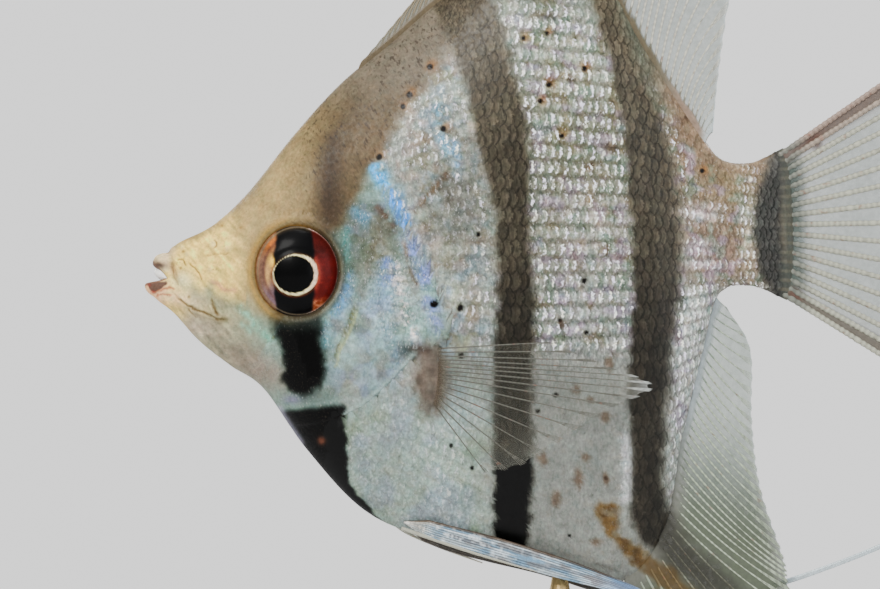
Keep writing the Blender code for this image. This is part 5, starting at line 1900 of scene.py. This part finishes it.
WALNUT_DARK, WALNUT_PALE = (0.065, 0.032, 0.017, 1.0), (0.125, 0.064, 0.034, 1.0)


def walnut_finish():
    made, nodes, shader = new_finish("oiled_walnut")
    place = add(nodes, "TexCoord", {}).outputs["Object"]
    bend = noise(nodes, 14.0, 3.0, (3.0, 1.0, 1.0))
    shift = add(nodes, "CombineXYZ", {"Y": times(nodes, bend, 9 * MM), "Z": times(nodes, bend, 5 * MM)})
    bent = add(nodes, "VectorMath", {0: place, 1: shift.outputs[0]}, operation="ADD").outputs[0]
    inputs = {"Vector": bent, "Scale": 140.0, "Distortion": 5.0, "Detail": 3.0}
    rings = add(nodes, "TexWave", inputs, bands_direction="Y")
    grain = ranged(nodes, rings.outputs["Fac"], 0.1, 0.9, 0.0, 1.0)
    pore = ranged(nodes, noise(nodes, 0.35, 3.0, (16.0, 1.0, 1.0)), 0.52, 0.66, 0.0, 1.0)
    colour = mixed(nodes, grain, WALNUT_PALE, WALNUT_DARK)
    colour = mixed(nodes, times(nodes, pore, 0.6), colour, (0.02, 0.010, 0.006, 1.0))
    bump = bumped(nodes, pore, 0.3, 0.08, invert=True)
    rough = ranged(nodes, noise(nodes, 6.0, 3.0), 0.3, 0.7, 0.30, 0.46)
    feed(shader, {"Base Color": colour, "Roughness": rough, "Normal": bump})
    return made


def brass_finish():
    """Turned and lacquered: fine rings round the rod and a few darker breaths of tarnish."""
    made, nodes, shader = new_finish("turned_brass")
    breath = ranged(nodes, noise(nodes, 4.0, 4.0), 0.35, 0.7, 0.0, 1.0)
    colour = mixed(nodes, breath, (0.78, 0.56, 0.25, 1.0), (0.50, 0.34, 0.14, 1.0))
    turned = noise(nodes, 0.12, 1.0, (40.0, 40.0, 1.0))
    bump = bumped(nodes, turned, 0.12, 0.02)
    rough = ranged(nodes, breath, 0.0, 1.0, 0.20, 0.36)
    feed(shader, {"Base Color": colour, "Roughness": rough, "Metallic": 1.0, "Normal": bump})
    return made


for node, finish in (("stand_base", walnut_finish()), ("stand_rod", brass_finish())):
    bpy.data.objects[node].material_slots[0].material = finish


# ---------------------------------------------------------------------------------------------
# The room: a round pale floor in a plain pale studio, with soft lights and a lens level with the
# fish.

FLOOR_RADIUS, FLOOR_SIDES = 1.0, 96
FLOOR_DROP = 0.0002
ROOM_TONE, ROOM_LIGHT = (0.80, 0.84, 0.88, 1.0), 0.35
WALL_TONE, WALL_LIGHT = (0.98, 0.98, 0.98, 1.0), 1.4
CAMERA_X, CAMERA_Z = 35.0, -6.5  # the point in the fish's frame that the camera looks at
CAMERA_DISTANCE = 0.62
FRAME_WIDTH = 105.1
SENSOR = 36.0


def build_floor():
    turn = np.linspace(0, 2 * math.pi, FLOOR_SIDES, endpoint=False)
    rim = np.stack([np.cos(turn) * FLOOR_RADIUS, np.sin(turn) * FLOOR_RADIUS, 0 * turn - FLOOR_DROP], 1)
    made = mesh_object("floor", rim, [list(range(FLOOR_SIDES))], False)
    finish, nodes, shader = new_finish("pale_card")
    tone = mixed(nodes, noise(nodes, 60.0, 2.0), grey(0.60), grey(0.64))
    feed(shader, {"Base Color": tone, "Roughness": 0.9})
    made.data.materials.append(finish)
    return made


build_floor()


def add_light(name, place, size, power, tone=(1.0, 1.0, 1.0)):
    lamp = bpy.data.lights.new(name, "AREA")
    lamp.size, lamp.energy, lamp.color = size, power, tone
    made = bpy.data.objects.new(name, lamp)
    made.location = place
    aim = np.array([0.0, 0.0, AXIS_HEIGHT * MM]) - np.array(place)
    made.rotation_euler = Vector(aim).to_track_quat("-Z", "Y").to_euler()
    bpy.context.collection.objects.link(made)


add_light("key_light", (-0.35, -0.65, 0.65), 0.35, 10.0, (1.0, 0.98, 0.95))
add_light("fill_light", (0.55, -0.55, 0.25), 0.5, 3.5, (0.94, 0.97, 1.0))
add_light("top_light", (0.05, 0.05, 0.75), 0.4, 5.0)
add_light("back_light", (0.35, 0.30, 0.45), 0.25, 3.0)
add_light("rear_light", (-0.40, 0.75, 0.35), 0.5, 4.0, (0.96, 0.98, 1.0))

surround = bpy.data.worlds.new("soft_room")
surround.use_nodes = True
air = surround.node_tree.nodes
glow, wall = air["Background"], add(air, "Background", {"Color": WALL_TONE, "Strength": WALL_LIGHT})
feed(glow, {"Color": ROOM_TONE, "Strength": ROOM_LIGHT})
seen = add(air, "LightPath", {}).outputs["Is Camera Ray"]
blend = add(air, "MixShader", {0: seen, 1: glow.outputs[0], 2: wall.outputs[0]})
feed(air["World Output"], {"Surface": blend.outputs[0]})
bpy.context.scene.world = surround

lens = bpy.data.cameras.new("camera")
lens.sensor_width = SENSOR
lens.lens = SENSOR * CAMERA_DISTANCE / (FRAME_WIDTH * MM)
lens.clip_start = 0.05
camera = bpy.data.objects.new("camera", lens)
target = world(CAMERA_X, 0.0, CAMERA_Z)
camera.location = (target[0], -CAMERA_DISTANCE, target[2])
camera.rotation_euler = (math.pi / 2, 0.0, 0.0)
bpy.context.collection.objects.link(camera)
bpy.context.scene.camera = camera


# ---------------------------------------------------------------------------------------------
# Sizes: a helper that turns a box's corners into plain lists of numbers.


def plain(box):
    return [[float(value) for value in corner] for corner in box]
